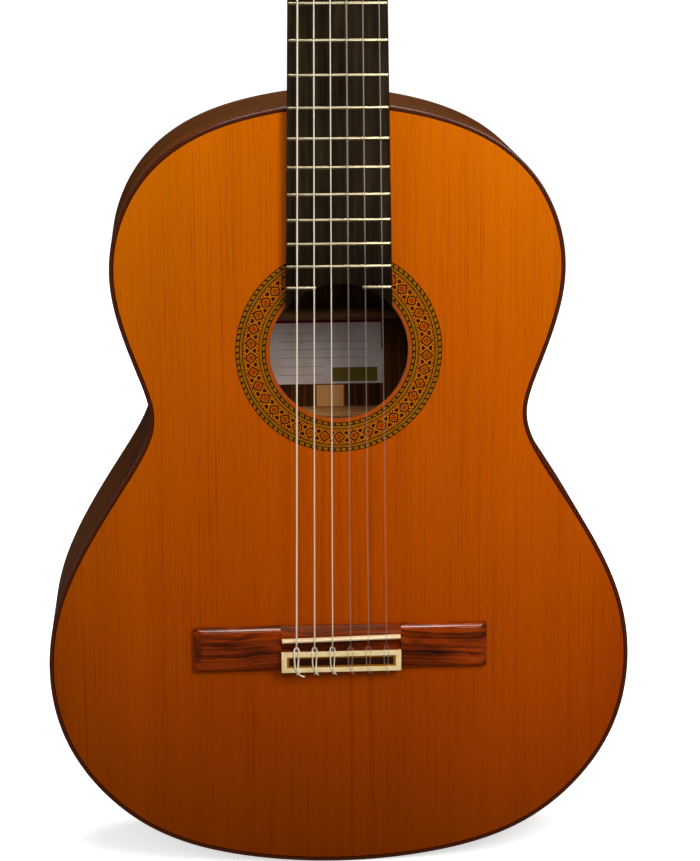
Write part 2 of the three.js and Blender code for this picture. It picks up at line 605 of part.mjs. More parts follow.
function slotPath(side) {
  const x = side * (SLOT_X0 + SLOT_X1) / 2;
  const radius = (SLOT_X1 - SLOT_X0) / 2;
  return new THREE.Path()
    .absarc(x, SLOT_Z[1] - radius, radius, 0, Math.PI, false)
    .absarc(x, SLOT_Z[0] + radius, radius, Math.PI, 2 * Math.PI, false);
}
function slottedHead(footZ, y0, y1) {
  const outline = bothSides([[26.4, footZ], ...HEAD_HALF]);
  const ramps = [1, -1].map(side => alongX(RAMP_SECTION, ...span(side, SLOT_X0, SLOT_X1)));
  return cut(alongY(shapeOf(outline, slotPath(1), slotPath(-1)), y0, y1, HEAD_SEGMENTS), ...ramps);
}
function headstock() {
  const bores = ROLLER_Z.flatMap(z => [-1, 1].flatMap(side => [
    rodX(BARREL_BORE_R, span(side, 20, 40), ROLLER_Y, z, 12),
    rodX(JOURNAL_BORE_R, span(side, 1.6, 12), ROLLER_Y, z, 10),
  ]));
  // leaves a level foot that stands on the end of the neck
  const belowFoot = slab(45, -45, 45, -40 + GLUE, GLUE).rotateX(HEAD_TILT);
  return cut(slottedHead(-12, HEAD_Y0, HEAD_Y0 + HEAD_T), ...bores, belowFoot);
}
put('headstock', headstock(), mahogany, head);
put('headstock_veneer', slottedHead(0.35, HEAD_Y0 - VENEER_T, HEAD_Y0), rosewood, head);

// ---------------------------------------------------------------- tuning machines
const WORM_X = 40.7;               // worm axis, and middle of the gear
const WORM_OFFSET = 8;             // worm axis below the roller axis, along z
const WORM_LEAD = 2.4;
const THREAD_L = 6;
const THREAD_STEPS = 12;           // per turn
const GEAR_TEETH = 14;
const GEAR_HALF_T = 1.5;
const GEAR_TWIST = degToRad(2.3);  // of each face
// One gear tooth: radius, share of the pitch from the middle of a gap
const TOOTH = [[4.7, -0.24], [4.7, 0.24], [5.75, 0.39], [5.75, 0.61]];
// Radius, distance from the headstock's centre line: journal, barrel, post, gear shaft
const ROLLER_PROFILE = [
  [0, 1.9], [3.3, 1.9], [3.3, SLOT_X0 + 0.4], [4.6, SLOT_X0 + 0.8], [3.9, SLOT_X0 + 4],
  [3.9, SLOT_X1 - 4], [4.95, SLOT_X1 + 0.6], [4.95, 35.7], [3, 35.9], [3, 39], [3, 42.6],
  [2.6, 43.2], [0, 43.2],
];
// Radius, y from the roller's axis
const WORM_PROFILE = [
  [0, -7.6], [1.5, -7.6], [1.5, -3.9], [2, -3.7], [2, 3.7], [1.5, 3.9],
  [1.5, 10.4], [2.6, 10.8], [2.6, 13.4], [0, 13.4],
];
const BUTTON_PROFILE = [
  [0, 12.8], [3.4, 12.8], [6.2, 14.6], [8.6, 18.6], [9, 22.4], [7.6, 26], [4.4, 28], [0, 28.4],
];
const THREAD_SECTION = [[1.75, -0.62], [3.05, -0.3], [3.05, 0.3], [1.75, 0.62]];

function gear() {
  const pitch = 2 * Math.PI / GEAR_TEETH;
  const outline = Array.from({ length: GEAR_TEETH }, (_, k) => TOOTH.map(([radius, share]) => {
    const angle = (k + share) * pitch;
    return [radius * Math.sin(angle), -radius * Math.cos(angle)];
  })).flat();
  const geometry = alongX(outline, -GEAR_HALF_T, GEAR_HALF_T);
  // the twist makes the teeth follow the thread of the worm
  const { position } = geometry.attributes;
  for (let i = 0; i < position.count; i++) {
    const point = new THREE.Vector3().fromBufferAttribute(position, i);
    const angle = -point.x / GEAR_HALF_T * GEAR_TWIST;
    position.setXYZ(i, point.x,
      point.y * Math.cos(angle) - point.z * Math.sin(angle),
      point.y * Math.sin(angle) + point.z * Math.cos(angle));
  }
  return geometry.translate(WORM_X, 0, 0);
}
function roller(side) {
  const geometry = join(turned(ROLLER_PROFILE, 12).rotateZ(-Math.PI / 2), gear());
  return side < 0 ? geometry.rotateZ(Math.PI) : geometry;
}
function wormThread() {
  const turns = THREAD_L / WORM_LEAD;
  const rings = [];
  for (let i = 0; i <= Math.round(THREAD_STEPS * turns); i++) {
    const angle = 2 * Math.PI * i / THREAD_STEPS - Math.PI * turns;
    const middle = WORM_LEAD * (angle / (2 * Math.PI) - 0.25);
    rings.push(THREAD_SECTION.map(([radius, y]) =>
      [radius * Math.cos(angle), middle + y, radius * Math.sin(angle)]));
  }
  return loft(rings);
}
// Shaft with one thread, and the flattened button behind the headstock.
const worm = () => join(turned(WORM_PROFILE, 10), wormThread(),
  turned(BUTTON_PROFILE, 12).scale(1, 1, 0.5));

for (const { number, side, rollerZ } of STRINGS) {
  put('tuner_roller_' + number, roller(side), brass, head).position.set(0, ROLLER_Y, rollerZ);
  put('tuner_worm_' + number, worm(), nickel, head)
    .position.set(side * WORM_X, ROLLER_Y, rollerZ - WORM_OFFSET);
}

const PLATE_X = HEAD_HALF_W + GLUE;
const PLATE_T = 1.6;
const LUG_HALF_W = 2.7;
// y from the roller axis, z
const PLATE_OUTLINE = [
  [-6, 40], [-2.5, 37.4], [2.5, 37.4], [6, 40], [6, 146], [2.5, 148.6], [-2.5, 148.6], [-6, 146],
];
// The treble plate, with two lugs on each worm's shaft.
function tunerPlate() {
  const plate = alongX(PLATE_OUTLINE, PLATE_X, PLATE_X + PLATE_T).translate(0, ROLLER_Y, 0);
  const wormZs = ROLLER_Z.map(z => z - WORM_OFFSET);
  const lugs = wormZs.flatMap(z => [-1, 1].map(side =>
    box(PLATE_X + PLATE_T - 0.2, WORM_X + 2.6, ...span(side, 4.3, 6.9).map(y => ROLLER_Y + y),
      z - LUG_HALF_W, z + LUG_HALF_W)));
  const rollerHoles = ROLLER_Z.map(z => rodX(3.35, [30, 39.4], ROLLER_Y, z, 12));
  const wormHoles = wormZs.map(z => rodY(1.85, [0, 30], WORM_X, z, 10));
  return cut(join(plate, ...lugs), ...rollerHoles, ...wormHoles);
}
put('tuner_plate_bass', mirrorX(tunerPlate()), brass, head);
put('tuner_plate_treble', tunerPlate(), brass, head);

// ---------------------------------------------------------------- strings
const WIND_Y = ROLLER_Y - 4.35;    // face of the wound barrel that the string runs to
const STRING_SIDES = 6;
for (const { number, side, radius, windX, rollerZ, nutX, saddleX } of STRINGS) {
  const end = new THREE.Vector3(windX, WIND_Y - radius, rollerZ + 1)
    .applyMatrix4(head.matrix).toArray();
  const line = [
    [saddleX, STRING_Y_TIE, BRIDGE_Z0 - 1.6],
    [saddleX, STRING_Y_TIE, TIE_Z1 + 0.2],
    [saddleX, STRING_Y_SADDLE, Z_SADDLE],
    [nutX, STRING_Y_NUT, Z_NUT + 1.2],
    [lerp(nutX, end[0], 0.02), STRING_Y_NUT + 0.04, Z_HEAD + 0.3],
    end,
  ];
  put('string_' + number, rodThrough(line, radius, STRING_SIDES), side < 0 ? wound : nylon);
}

export default guitar;
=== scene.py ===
"""A classical guitar, standing on its tail. X runs across it with the treble side at +X, -Y faces
the front (soundboard and strings) and +Z runs up the neck; the tail end of the body is at z = 0.
Lengths are millimetres unless said otherwise; the scene and the shaders are in metres."""

import math

import bmesh
import bpy
import numpy as np
from mathutils import Matrix, Vector


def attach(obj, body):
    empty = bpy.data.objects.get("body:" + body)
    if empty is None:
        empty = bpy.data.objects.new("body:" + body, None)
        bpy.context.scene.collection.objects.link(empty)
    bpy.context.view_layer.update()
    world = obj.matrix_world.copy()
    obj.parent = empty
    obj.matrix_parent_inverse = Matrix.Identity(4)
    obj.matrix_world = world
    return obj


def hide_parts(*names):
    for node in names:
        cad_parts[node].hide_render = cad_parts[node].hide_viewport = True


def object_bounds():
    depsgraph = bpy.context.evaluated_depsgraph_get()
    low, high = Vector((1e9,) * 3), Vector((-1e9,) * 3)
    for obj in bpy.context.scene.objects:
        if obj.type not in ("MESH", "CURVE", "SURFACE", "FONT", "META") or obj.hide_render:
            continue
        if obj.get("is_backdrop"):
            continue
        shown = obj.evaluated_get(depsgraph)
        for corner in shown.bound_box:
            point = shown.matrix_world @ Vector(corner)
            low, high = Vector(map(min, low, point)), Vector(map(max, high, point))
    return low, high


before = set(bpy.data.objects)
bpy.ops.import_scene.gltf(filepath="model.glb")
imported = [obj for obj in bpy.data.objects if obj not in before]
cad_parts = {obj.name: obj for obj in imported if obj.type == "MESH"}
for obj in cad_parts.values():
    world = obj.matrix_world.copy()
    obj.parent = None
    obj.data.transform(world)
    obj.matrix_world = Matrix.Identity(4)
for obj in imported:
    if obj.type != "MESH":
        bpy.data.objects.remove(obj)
CAD_LO, CAD_HI = (list(v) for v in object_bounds())
MM = 0.001
TURN = 2 * math.pi
SIDES = ((-1, "bass"), (1, "treble"))

# ------------------------------------------------------------------ main dimensions
SCALE = 650.0
BODY = 478.0
FRET_12_Z = 477.0
NUT_Z = FRET_12_Z + SCALE / 2
DEPTH_TAIL, DEPTH_HEEL = 100.0, 96.0
FRONT = -DEPTH_TAIL / 2                    # y of the soundboard's face
SADDLE_Z = 149.7
HOLE_Z, HOLE_R = 329.1, 42.2
ROSETTE_IN, ROSETTE_OUT = 44.6, 63.0
TOP_T, BACK_T, RIB_T, BIND = 2.4, 2.5, 2.2, 2.8
BOARD_T = 6.3                              # fingerboard thickness
NUT_LENGTH = 5.0
# strings from bass to treble; their heights are y from the soundboard's face
STRING_D = [1.08, 0.88, 0.74, 1.02, 0.82, 0.71]
NUT_STRING_Y, SADDLE_STRING_Y = -8.7, -12.3
SPREAD_NUT, SPREAD_SADDLE = 43.0, 55.7
# headstock, in its own tilted axes with z = 0 at the nut's upper face
TILT = math.radians(15)
HEAD_Y, HEAD_T, VENEER_T, HEAD_HALF = 1.0, 18.0, 2.2, 36.0
SLOT_NEAR, SLOT_FAR, SLOT_LOW, SLOT_HIGH = 8.5, 24.5, 34.0, 152.0
ROLLER_Z, ROLLER_Y = [58.0, 93.0, 128.0], 10.0
WORM_X, WORM_DROP, LEAD, TEETH = 40.7, 8.0, 2.4, 14
BARREL_R = 3.85
# bridge: half widths of the whole and of the middle, and its edges in z
BRIDGE_HALF, BRIDGE_MID = 91.0, 37.3
BRIDGE_HIGH, BRIDGE_LOW = SADDLE_Z + 6.5, SADDLE_Z - 21.4
TIE_HIGH, TIE_H, TRIM_T = SADDLE_Z - 8.2, 8.6, 1.3
# control points (x, z) of the treble half's B-spline, from tail to neck, 3 mm inside the edge
CONTROL = [
    (0, 0.31), (74.95, 8.33), (124.28, 27.53), (162.42, 65.86), (180.33, 112.75),
    (176.3, 173.57), (136.79, 238.46), (106.96, 281.72), (117.74, 311.8), (138.75, 365.77),
    (132.87, 411.92), (105.03, 452.8), (62.22, 470.07), (27.05, 475.04),
]


def lerp(a, b, t):
    return a + (b - a) * t


def clamp(t):
    return min(1.0, max(0.0, t))


def smooth(t):
    t = clamp(t)
    return t * t * (3 - 2 * t)


def rib_back(z):
    return lerp(DEPTH_TAIL, DEPTH_HEEL, z / BODY)


def string_x(i, spread):
    return (i - 2.5) / 5 * spread


def saddle_z(x):
    """The saddle's centre line, slanted across the bridge."""
    return SADDLE_Z - 0.62 + 0.0205 * x


def arc_lengths(points):
    return np.r_[0, np.cumsum(np.linalg.norm(np.diff(points, axis=0), axis=1))]


def unit_rows(rows):
    return rows / np.linalg.norm(rows, axis=1)[:, None]


# ------------------------------------------------------------------ mesh helpers
def link(name, data):
    o = bpy.data.objects.new(name, data)
    bpy.context.scene.collection.objects.link(o)
    return o


def tidy(data, weld=False, sharp=None):
    """Turns the normals outward. sharp gives smooth shading that breaks at steeper edges."""
    bm = bmesh.new()
    bm.from_mesh(data)
    if weld:
        bmesh.ops.remove_doubles(bm, verts=bm.verts, dist=1e-6)
    bmesh.ops.recalc_face_normals(bm, faces=bm.faces)
    if sharp is not None:
        limit = math.radians(sharp)
        for face in bm.faces:
            face.smooth = True
        for edge in bm.edges:
            edge.smooth = not (len(edge.link_faces) != 2 or edge.calc_face_angle(0.0) > limit)
    bm.to_mesh(data)
    bm.free()


def finish(o, mat, slot, body="guitar", replaces=None):
    base = o.name.split(".")[0]
    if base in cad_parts:
        o.name = base + "_fine"
    o.data.materials.append(mat)
    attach(o, body)
    if replaces:
        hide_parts(replaces)


def raw_mesh(name, verts, faces):
    data = bpy.data.meshes.new(name)
    data.from_pydata((np.asarray(verts, float) * MM).tolist(), [], faces)
    return data


def add_mesh(name, verts, faces, mat, slot, uv=None, angle=32, **kw):
    data = raw_mesh(name, verts, faces)
    if uv is not None:
        layer = data.uv_layers.new(name="UVMap")
        layer.data.foreach_set("uv", (np.asarray(uv, float) * MM).ravel())
    tidy(data, sharp=angle)
    finish(link(name, data), mat, slot, **kw)


def add_solid(o, name, mat, slot, angle=32, **kw):
    """A temporary object becomes a piece."""
    o.name = name
    o.data.name = name
    tidy(o.data, sharp=angle)
    finish(o, mat, slot, **kw)


def skin(rings, closed=False, along=None, fan=True):
    """Vertices, faces and loop uvs over rings of equal length. closed joins the last ring to the
    first; otherwise each end is capped by a fan or one polygon. along is u at each ring."""
    points = np.asarray(rings, float)
    rows, cols = points.shape[:2]
    verts = points.reshape(-1, 3).tolist()
    if along is None:
        centres = points.mean(1)
        along = arc_lengths(np.vstack([centres, centres[:1]]))
    middle = points[rows // 2]
    across = arc_lengths(np.vstack([middle, middle[:1]]))
    faces, uv = [], []
    for r in range(rows if closed else rows - 1):
        q = (r + 1) % rows
        for k in range(cols):
            j = (k + 1) % cols
            faces.append((r * cols + k, r * cols + j, q * cols + j, q * cols + k))
            uv += [(along[r], across[k]), (along[r], across[k + 1])]
            uv += [(along[r + 1], across[k + 1]), (along[r + 1], across[k])]
    if closed:
        return verts, faces, uv
    for r, flip in ((0, True), (rows - 1, False)):
        ids = [r * cols + k for k in range(cols)]
        if not fan:
            faces.append(tuple(reversed(ids)) if flip else tuple(ids))
            uv += [(along[r], across[k]) for k in range(cols)]
            continue
        hub = len(verts)
        verts.append(points[r].mean(0).tolist())
        for k in range(cols):
            here, after = ids[k], ids[(k + 1) % cols]
            faces.append((hub, after, here) if flip else (hub, here, after))
            uv += [(along[r], 0), (along[r], across[k]), (along[r], across[k])]
    return verts, faces, uv


def add_skin(name, rings, mat, slot, closed=False, along=None, fan=True, **kw):
    verts, faces, uv = skin(rings, closed, along, fan)
    add_mesh(name, verts, faces, mat, slot, uv=uv, **kw)


def solid(verts, faces):
    """A temporary object, to be cut, used as a tool or made a piece."""
    data = raw_mesh("tmp", verts, faces)
    tidy(data)
    return link("tmp", data)


def skin_solid(rings, fan=False):
    return solid(*skin(rings, fan=fan)[:2])


def drop(*objects):
    for o in objects:
        bpy.data.objects.remove(o, do_unlink=True)


def bake(o, *tools):
    """Replaces an object by one with its modifiers applied, and drops the tools."""
    graph = bpy.context.evaluated_depsgraph_get()
    data = bpy.data.meshes.new_from_object(
        o.evaluated_get(graph), preserve_all_data_layers=True, depsgraph=graph)
    drop(o, *tools)
    return link("tmp", data)


def carved(o, tools):
    for tool in tools:
        cut = o.modifiers.new("cut", "BOOLEAN")
        cut.operation, cut.solver, cut.object = "DIFFERENCE", "EXACT", tool
    return bake(o, *tools)


def bevelled(o, width, segments=2, angle=30):
    bevel = o.modifiers.new("bevel", "BEVEL")
    bevel.width, bevel.segments = width * MM, segments
    bevel.limit_method, bevel.angle_limit = "ANGLE", math.radians(angle)
    bevel.use_clamp_overlap = True
    return bake(o)


def prism(loop, lo, hi, plane="xz"):
    """A closed loop drawn in the plane, extruded between lo and hi along the third axis."""
    n = len(loop)
    put = {
        "xz": lambda a, b, c: (a, c, b),
        "yz": lambda a, b, c: (c, a, b),
        "xy": lambda a, b, c: (a, b, c),
    }[plane]
    verts = [put(a, b, c) for c in (lo, hi) for a, b in loop]
    faces = [tuple(range(n))[::-1], tuple(range(n, 2 * n))]
    faces += [(i, (i + 1) % n, n + (i + 1) % n, n + i) for i in range(n)]
    return solid(verts, faces)


def plate(outline, holes, lo, hi, bevel, plane="xz", segments=2):
    """A flat plate with holes and rounded edges, as a temporary object."""
    curve = bpy.data.curves.new("plate", "CURVE")
    curve.dimensions, curve.fill_mode = "2D", "BOTH"
    for loop in [outline] + list(holes):
        spline = curve.splines.new("POLY")
        spline.points.add(len(loop) - 1)
        flat = np.array([(a * MM, b * MM, 0, 1) for a, b in loop], float).ravel()
        spline.points.foreach_set("co", flat)
        spline.use_cyclic_u = True
    curve.extrude = (hi - lo) / 2 * MM - bevel * MM
    curve.bevel_depth, curve.bevel_resolution = bevel * MM, segments
    curve.offset = -bevel * MM
    o = link("plate", curve)
    bpy.context.view_layer.update()
    o = bake(o)
    flat = np.empty(len(o.data.vertices) * 3)
    o.data.vertices.foreach_get("co", flat)
    a, b, c = flat.reshape(-1, 3).T
    mid = (lo + hi) / 2 * MM
    placed = np.c_[a, mid - c, b] if plane == "xz" else np.c_[mid + c, a, b]
    o.data.vertices.foreach_set("co", placed.ravel())
    tidy(o.data, weld=True)
    return o


def lathe(profile, seg, axis="x"):
    """Rings for [(radius, position)] about an axis."""
    a = np.linspace(0, 2 * np.pi, seg, endpoint=False)
    rings = []
    for r, position in profile:
        c, s = r * np.cos(a), r * np.sin(a)
        p = np.full(seg, float(position))
        rings.append(np.c_[{"x": (p, c, s), "y": (c, p, -s), "z": (c, s, p)}[axis]])
    return rings


def tube(points, radius, sides):
    """Rings round a path, and the length along it."""
    points = np.asarray(points, float)
    tangents = np.gradient(points, axis=0)
    tangents /= np.linalg.norm(tangents, axis=1)[:, None] + 1e-12
    normal = np.cross(tangents[0], [0.3, 1, 0.2])
    normal /= np.linalg.norm(normal)
    a = np.linspace(0, 2 * np.pi, sides, endpoint=False)
    rings = []
    for point, tangent in zip(points, tangents):
        normal = normal - tangent * np.dot(normal, tangent)
        normal /= np.linalg.norm(normal)
        other = np.cross(tangent, normal)
        rings.append(point + radius * (np.cos(a)[:, None] * normal + np.sin(a)[:, None] * other))
    return rings, arc_lengths(points)


def catmull(points, per):
    """A Catmull-Rom curve through the points, with per steps between neighbours."""
    points = np.asarray(points, float)
    padded = np.vstack([2 * points[0] - points[1], points, 2 * points[-1] - points[-2]])
    out = []
    for i in range(1, len(padded) - 2):
        p0, p1, p2, p3 = padded[i - 1 : i + 3]
        for t in np.linspace(0, 1, per, endpoint=False):
            square = (2 * p0 - 5 * p1 + 4 * p2 - p3) * t**2
            cube = (3 * p1 - p0 - 3 * p2 + p3) * t**3
            out.append(0.5 * (2 * p1 + (p2 - p0) * t + square + cube))
    out.append(points[-1])
    return np.array(out)


def arc(cx, cy, r, start, end, count, endpoint=True):
    angles = np.linspace(start, end, count, endpoint=endpoint)
    return [(cx + r * math.cos(t), cy + r * math.sin(t)) for t in angles]


HEAD = (Matrix.Translation((0, FRONT * MM, (NUT_Z + NUT_LENGTH) * MM))
        @ Matrix.Rotation(-TILT, 4, "X"))


def head_point(x, y, z):
    return np.array(HEAD @ Vector((x * MM, y * MM, z * MM))) / MM


def on_head(o):
    o.data.transform(HEAD)
    return o


def head_skin(name, rings, origin, mat, slot, **kw):
    placed = [[head_point(*(np.array(p) + origin)) for p in ring] for ring in rings]
    add_skin(name, placed, mat, slot, **kw)


# ------------------------------------------------------------------ shader helpers
def operator(kind, flip=False):
    def apply(self, other=0.0):
        return self.mat.calc(kind, *((other, self) if flip else (self, other)))
    return apply


class Value:
    """A shader socket. Each arithmetic operation on it adds a Math node."""

    def __init__(self, mat, socket):
        self.mat, self.socket = mat, socket

    __add__, __radd__ = operator("ADD"), operator("ADD", flip=True)
    __sub__, __rsub__ = operator("SUBTRACT"), operator("SUBTRACT", flip=True)
    __mul__, __pow__ = operator("MULTIPLY"), operator("POWER")
    __abs__ = operator("ABSOLUTE")


class Mat:
    """A Principled material with short names for the nodes it is made of."""

    def __init__(self, name, rough=0.5, metal=0.0, coat=0.0, coat_rough=0.1, spec=0.5, **extra):
        self.result = bpy.data.materials.new(name)
        self.result.use_nodes = True
        self.tree = self.result.node_tree
        self.tree.nodes.clear()
        out = self.tree.nodes.new("ShaderNodeOutputMaterial")
        self.shader = self.tree.nodes.new("ShaderNodeBsdfPrincipled")
        self.tree.links.new(self.shader.outputs[0], out.inputs[0])
        self.set("Roughness", rough)
        self.set("Metallic", metal)
        self.set("Coat Weight", coat)
        self.set("Coat Roughness", coat_rough)
        self.set("Specular IOR Level", spec)
        for key, value in extra.items():
            self.set(key.replace("_", " "), value)
        self.coords = self.tree.nodes.new("ShaderNodeTexCoord")
        self.here = Value(self, self.coords.outputs["Object"])

    def put(self, socket, value):
        if isinstance(value, Value):
            self.tree.links.new(value.socket, socket)
        elif socket.type == "RGBA":
            socket.default_value = (*value[:3], 1.0)
        else:
            socket.default_value = value

    def set(self, name, value):
        self.put(self.shader.inputs[name], value)

    def node(self, kind, inputs, output=0, **settings):
        node = self.tree.nodes.new("ShaderNode" + kind)
        for key, value in settings.items():
            setattr(node, key, value)
        for key, value in inputs.items():
            self.put(node.inputs[key], value)
        return Value(self, node.outputs[output])

    def axes(self, source="Object"):
        """The three parts of the object's coordinates, or of its UV map."""
        split = self.node("SeparateXYZ", {0: Value(self, self.coords.outputs[source])})
        return [Value(self, socket) for socket in split.socket.node.outputs]

    def calc(self, kind, a, b=0.0):
        return self.node("Math", {0: a, 1: b, 2: 0.0}, operation=kind)

    def clamp(self, value):
        return self.calc("MINIMUM", self.calc("MAXIMUM", value, 0.0), 1.0)

    def wave(self, phase):
        return self.calc("SINE", phase * 6.2832) * 0.5 + 0.5

    def vec(self, x, y, z):
        return self.node("CombineXYZ", {0: x, 1: y, 2: z})

    def noise(self, vector, scale=1.0, detail=2.0, rough=0.5, distortion=0.0):
        return self.node("TexNoise", {"Vector": vector, "Scale": scale, "Detail": detail,
                                      "Roughness": rough, "Distortion": distortion})

    def grain(self, *axes, **kw):
        """Noise over three axes, each a (coordinate, stretch) pair or a fixed number."""
        parts = [self.calc("MULTIPLY", *a) if isinstance(a, tuple) else a for a in axes]
        return self.noise(self.vec(*parts), **kw)

    def ramp(self, fac, *stops):
        """A colour ramp over (position, colour) stops."""
        result = self.node("ValToRGB", {0: fac})
        elements = result.socket.node.color_ramp.elements
        while len(elements) < len(stops):
            elements.new(0.5)
        for element, (position, colour) in zip(elements, stops):
            element.position = position
            element.color = (*colour, 1.0)
        return result

    def step(self, fac, a, b):
        """A smooth step from 0 at a to 1 at b."""
        return self.node("MapRange", {0: fac, 1: a, 2: b}, interpolation_type="SMOOTHSTEP")

    def mix(self, fac, a, b, kind="MIX"):
        return self.node("Mix", {0: fac, 6: a, 7: b}, 2, data_type="RGBA", blend_type=kind)

    def bump(self, height, strength, distance):
        self.set("Normal", self.node(
            "Bump", {"Strength": strength, "Distance": distance, "Height": height}))


def srgb(*rgb):
    """Linear colour from 0-255 sRGB."""
    return tuple(v / 255 / 12.92 if v / 255 <= 0.04045 else ((v / 255 + 0.055) / 1.055) ** 2.4
                 for v in rgb)


def shade(colour, *factors):
    """A colour times one factor, or times one per channel."""
    return tuple(c * f for c, f in zip(colour, factors * 3))


# ------------------------------------------------------------------ materials
TOP_HIGH = (0.62, 0.135, 0.001)             # pale grain near the neck, and near the tail; the tail's darker tone is partly painted shade, standing in for light falling off down the board, and partly the board's own colour
TOP_LOW = (0.30, 0.034, 0.0005)
# log of the tone, painted light and shade together with the board's own colour: a constant, then
# factors of x, z, x2, z2, xz, z3, x2z, x3 and x4
PAINTED_LIGHT_AND_TONE_RED = (-0.3068, 0.9431, 5.2248, 10.6215, -21.8006, -1.7465, 26.233, 1.2575, -11.5124,
            -479.6155)
PAINTED_LIGHT_AND_TONE_GREEN = (-0.0564, 0.9852, 2.224, 16.593, -15.6066, -1.6857, 23.9549, 15.5775, -29.5365,
              -689.5468)
# darker strips of grain below the soundhole: x, half width (metres) and strength
TOP_STRIPS = ((0.0068, 0.0016, 0.22), (0.0195, 0.0030, 0.13), (-0.0105, 0.0012, 0.10),
              (0.0125, 0.0011, 0.10))


def make_top():
    m = Mat("cedar_soundboard", rough=0.42, spec=0.22, Specular_Tint=(1.0, 0.42, 0.06))
    x, y, z = m.axes()
    off = abs(x)
    side = m.calc("SIGN", x)
    # growth lines run along Z; their spacing drifts across the board
    drift = m.grain((off, 24), 0, (z, 1.2), detail=3)
    phase = off * 640 + drift * 9.0 + side * 0.13
    line = m.wave(phase) ** 2.6
    # some lines are much darker than others, and come and go along their length
    dark_line = m.step(m.grain((phase, 0.9), 3.7, (z, 6), rough=0.6), 0.44, 0.68)
    broken = m.step(m.grain((x, 700), 0, (z, 60), detail=3, rough=0.7), 0.30, 0.62)
    fine = m.grain((x, 1700), (y, 300), (z, 14), detail=3, rough=0.6)
    streak = m.step(m.grain((x, 330), (y, 100), (z, 5), detail=3, rough=0.6), 0.54, 0.76)
    band = m.grain((x, 42), 0, (z, 0.9))
    wide = m.grain((x, 5), 0, (z, 4))
    silk = m.grain((x, 160), 0, (z, 420))
    # partly painted light: the board darkens from the neck down to the tail as the light falls
    # off, and partly this is its own colour
    height = m.step(z, -0.02, 0.48)
    pale = m.mix(height, TOP_LOW, TOP_HIGH)
    deep = m.mix(height, shade(TOP_LOW, 0.50, 0.36, 0.3), shade(TOP_HIGH, 0.50, 0.34, 0.2))
    close = m.wave(off * 1080 + drift * 16.0) ** 1.6
    patch = m.step(m.grain((x, 26), 0, (z, 2.5)), 0.35, 0.65)
    mark = (line * broken * (0.12 + dark_line * 0.62) + close * (0.12 + patch * 0.24)
            + fine * 0.46 + streak * 0.30 + band * 0.40 + wide * 0.24 + silk * 0.10 + -0.62)
    col = m.mix(m.clamp(mark), pale, deep)
    # a slow change of tone over the board: partly painted light and shade, following how the lamps
    # fall on it, and partly the board's own colour
    x2, z2 = x * x, z * z
    terms = [x, z, x2, z2, x * z, z2 * z, x2 * z, x2 * x, x2 * x2]
    tone = [m.calc("EXPONENT", sum((t * k for t, k in zip(terms, tones[1:])), tones[0]))
            for tones in (PAINTED_LIGHT_AND_TONE_RED, PAINTED_LIGHT_AND_TONE_GREEN)]
    col = m.mix(1.0, col, m.vec(tone[0], tone[1], 0.6), "MULTIPLY")
    for strip_x, half, strength in TOP_STRIPS:
        strip = 1.0 - m.step(abs(x - strip_x), half * 0.2, half)
        col = m.mix(strip * strength * (1.0 - m.step(z, 0.23, 0.285)), col, shade(TOP_LOW, 0.25))
    # the glue line down the middle
    col = m.mix((1.0 - m.step(off, 0.0001, 0.0003)) * 0.35, col, shade(TOP_LOW, 0.3))
    # the lip of the soundhole is redder and glossier
    up = z - HOLE_Z * MM
    lip = 1.0 - m.step(m.calc("SQRT", x * x + up * up), 0.0446, 0.0447)
    col = m.mix(lip, col, m.mix(fine, (0.47, 0.088, 0.004), (0.33, 0.052, 0.003)))
    m.set("Base Color", col)
    m.set("Coat Weight", lip * 0.9)
    m.set("Roughness", 0.24 + fine * 0.12)
    m.bump(line * 0.5 + fine * 0.5, strength=0.12, distance=0.00006)
    return m.result


def rosewood(name, axes, colours, rough=0.32, coat=0.6, fine=1.0, contrast=1.0, coat_rough=0.12,
             bend=5.0, sway=0.02, cloud=0.0, spec=0.22):
    """Dark streaked wood. axes names the coordinates along the grain, across it and in depth:
    x, y, z, u, v, |x| or - for none."""
    m = Mat(name, rough=rough, coat=coat, coat_rough=coat_rough, spec=spec,
            Specular_Tint=(1.0, 0.62, 0.32))
    colours = [srgb(*c) for c in colours]
    pick = dict(zip("xyz", m.axes())) | dict(zip("uv", m.axes("UV"))) | {"-": 0.0}
    if "|x|" in axes:
        pick["|x|"] = abs(pick["x"])
    along, across, depth = (pick[a] for a in axes.split())
    curve = m.grain((along, bend), (across, 16), (depth, 16), detail=3)
    bent = across + curve * sway
    ring = m.grain((along, 3.0), (bent, 210 * fine), (depth, 90 * fine),
                   detail=4, rough=0.62, distortion=0.15)
    lines = m.grain((along, 7.0), (bent, 900 * fine), (depth, 400 * fine), detail=3, rough=0.6)
    pores = m.step(m.grain((along, 95), (across, 2600), (depth, 2600)), 0.60, 0.70)
    tone = (ring - 0.5) * (1.7 * contrast) + (lines - 0.5) * (0.7 * contrast) + 0.5
    if cloud:
        blots = m.grain((along, 24), (bent, 95), (depth, 40), detail=3, rough=0.6, distortion=0.6)
        tone = tone + (blots - 0.5) * cloud
    col = m.ramp(tone, *zip((0.0, 0.38, 0.62, 1.0), colours))
    m.set("Base Color", m.mix(pores * 0.55, col, colours[0]))
    m.set("Roughness", rough - 0.05 + lines * 0.14 + pores * 0.1)
    m.bump(lines * 0.4 + pores * -0.8, strength=0.15, distance=0.00008)
    return m.result


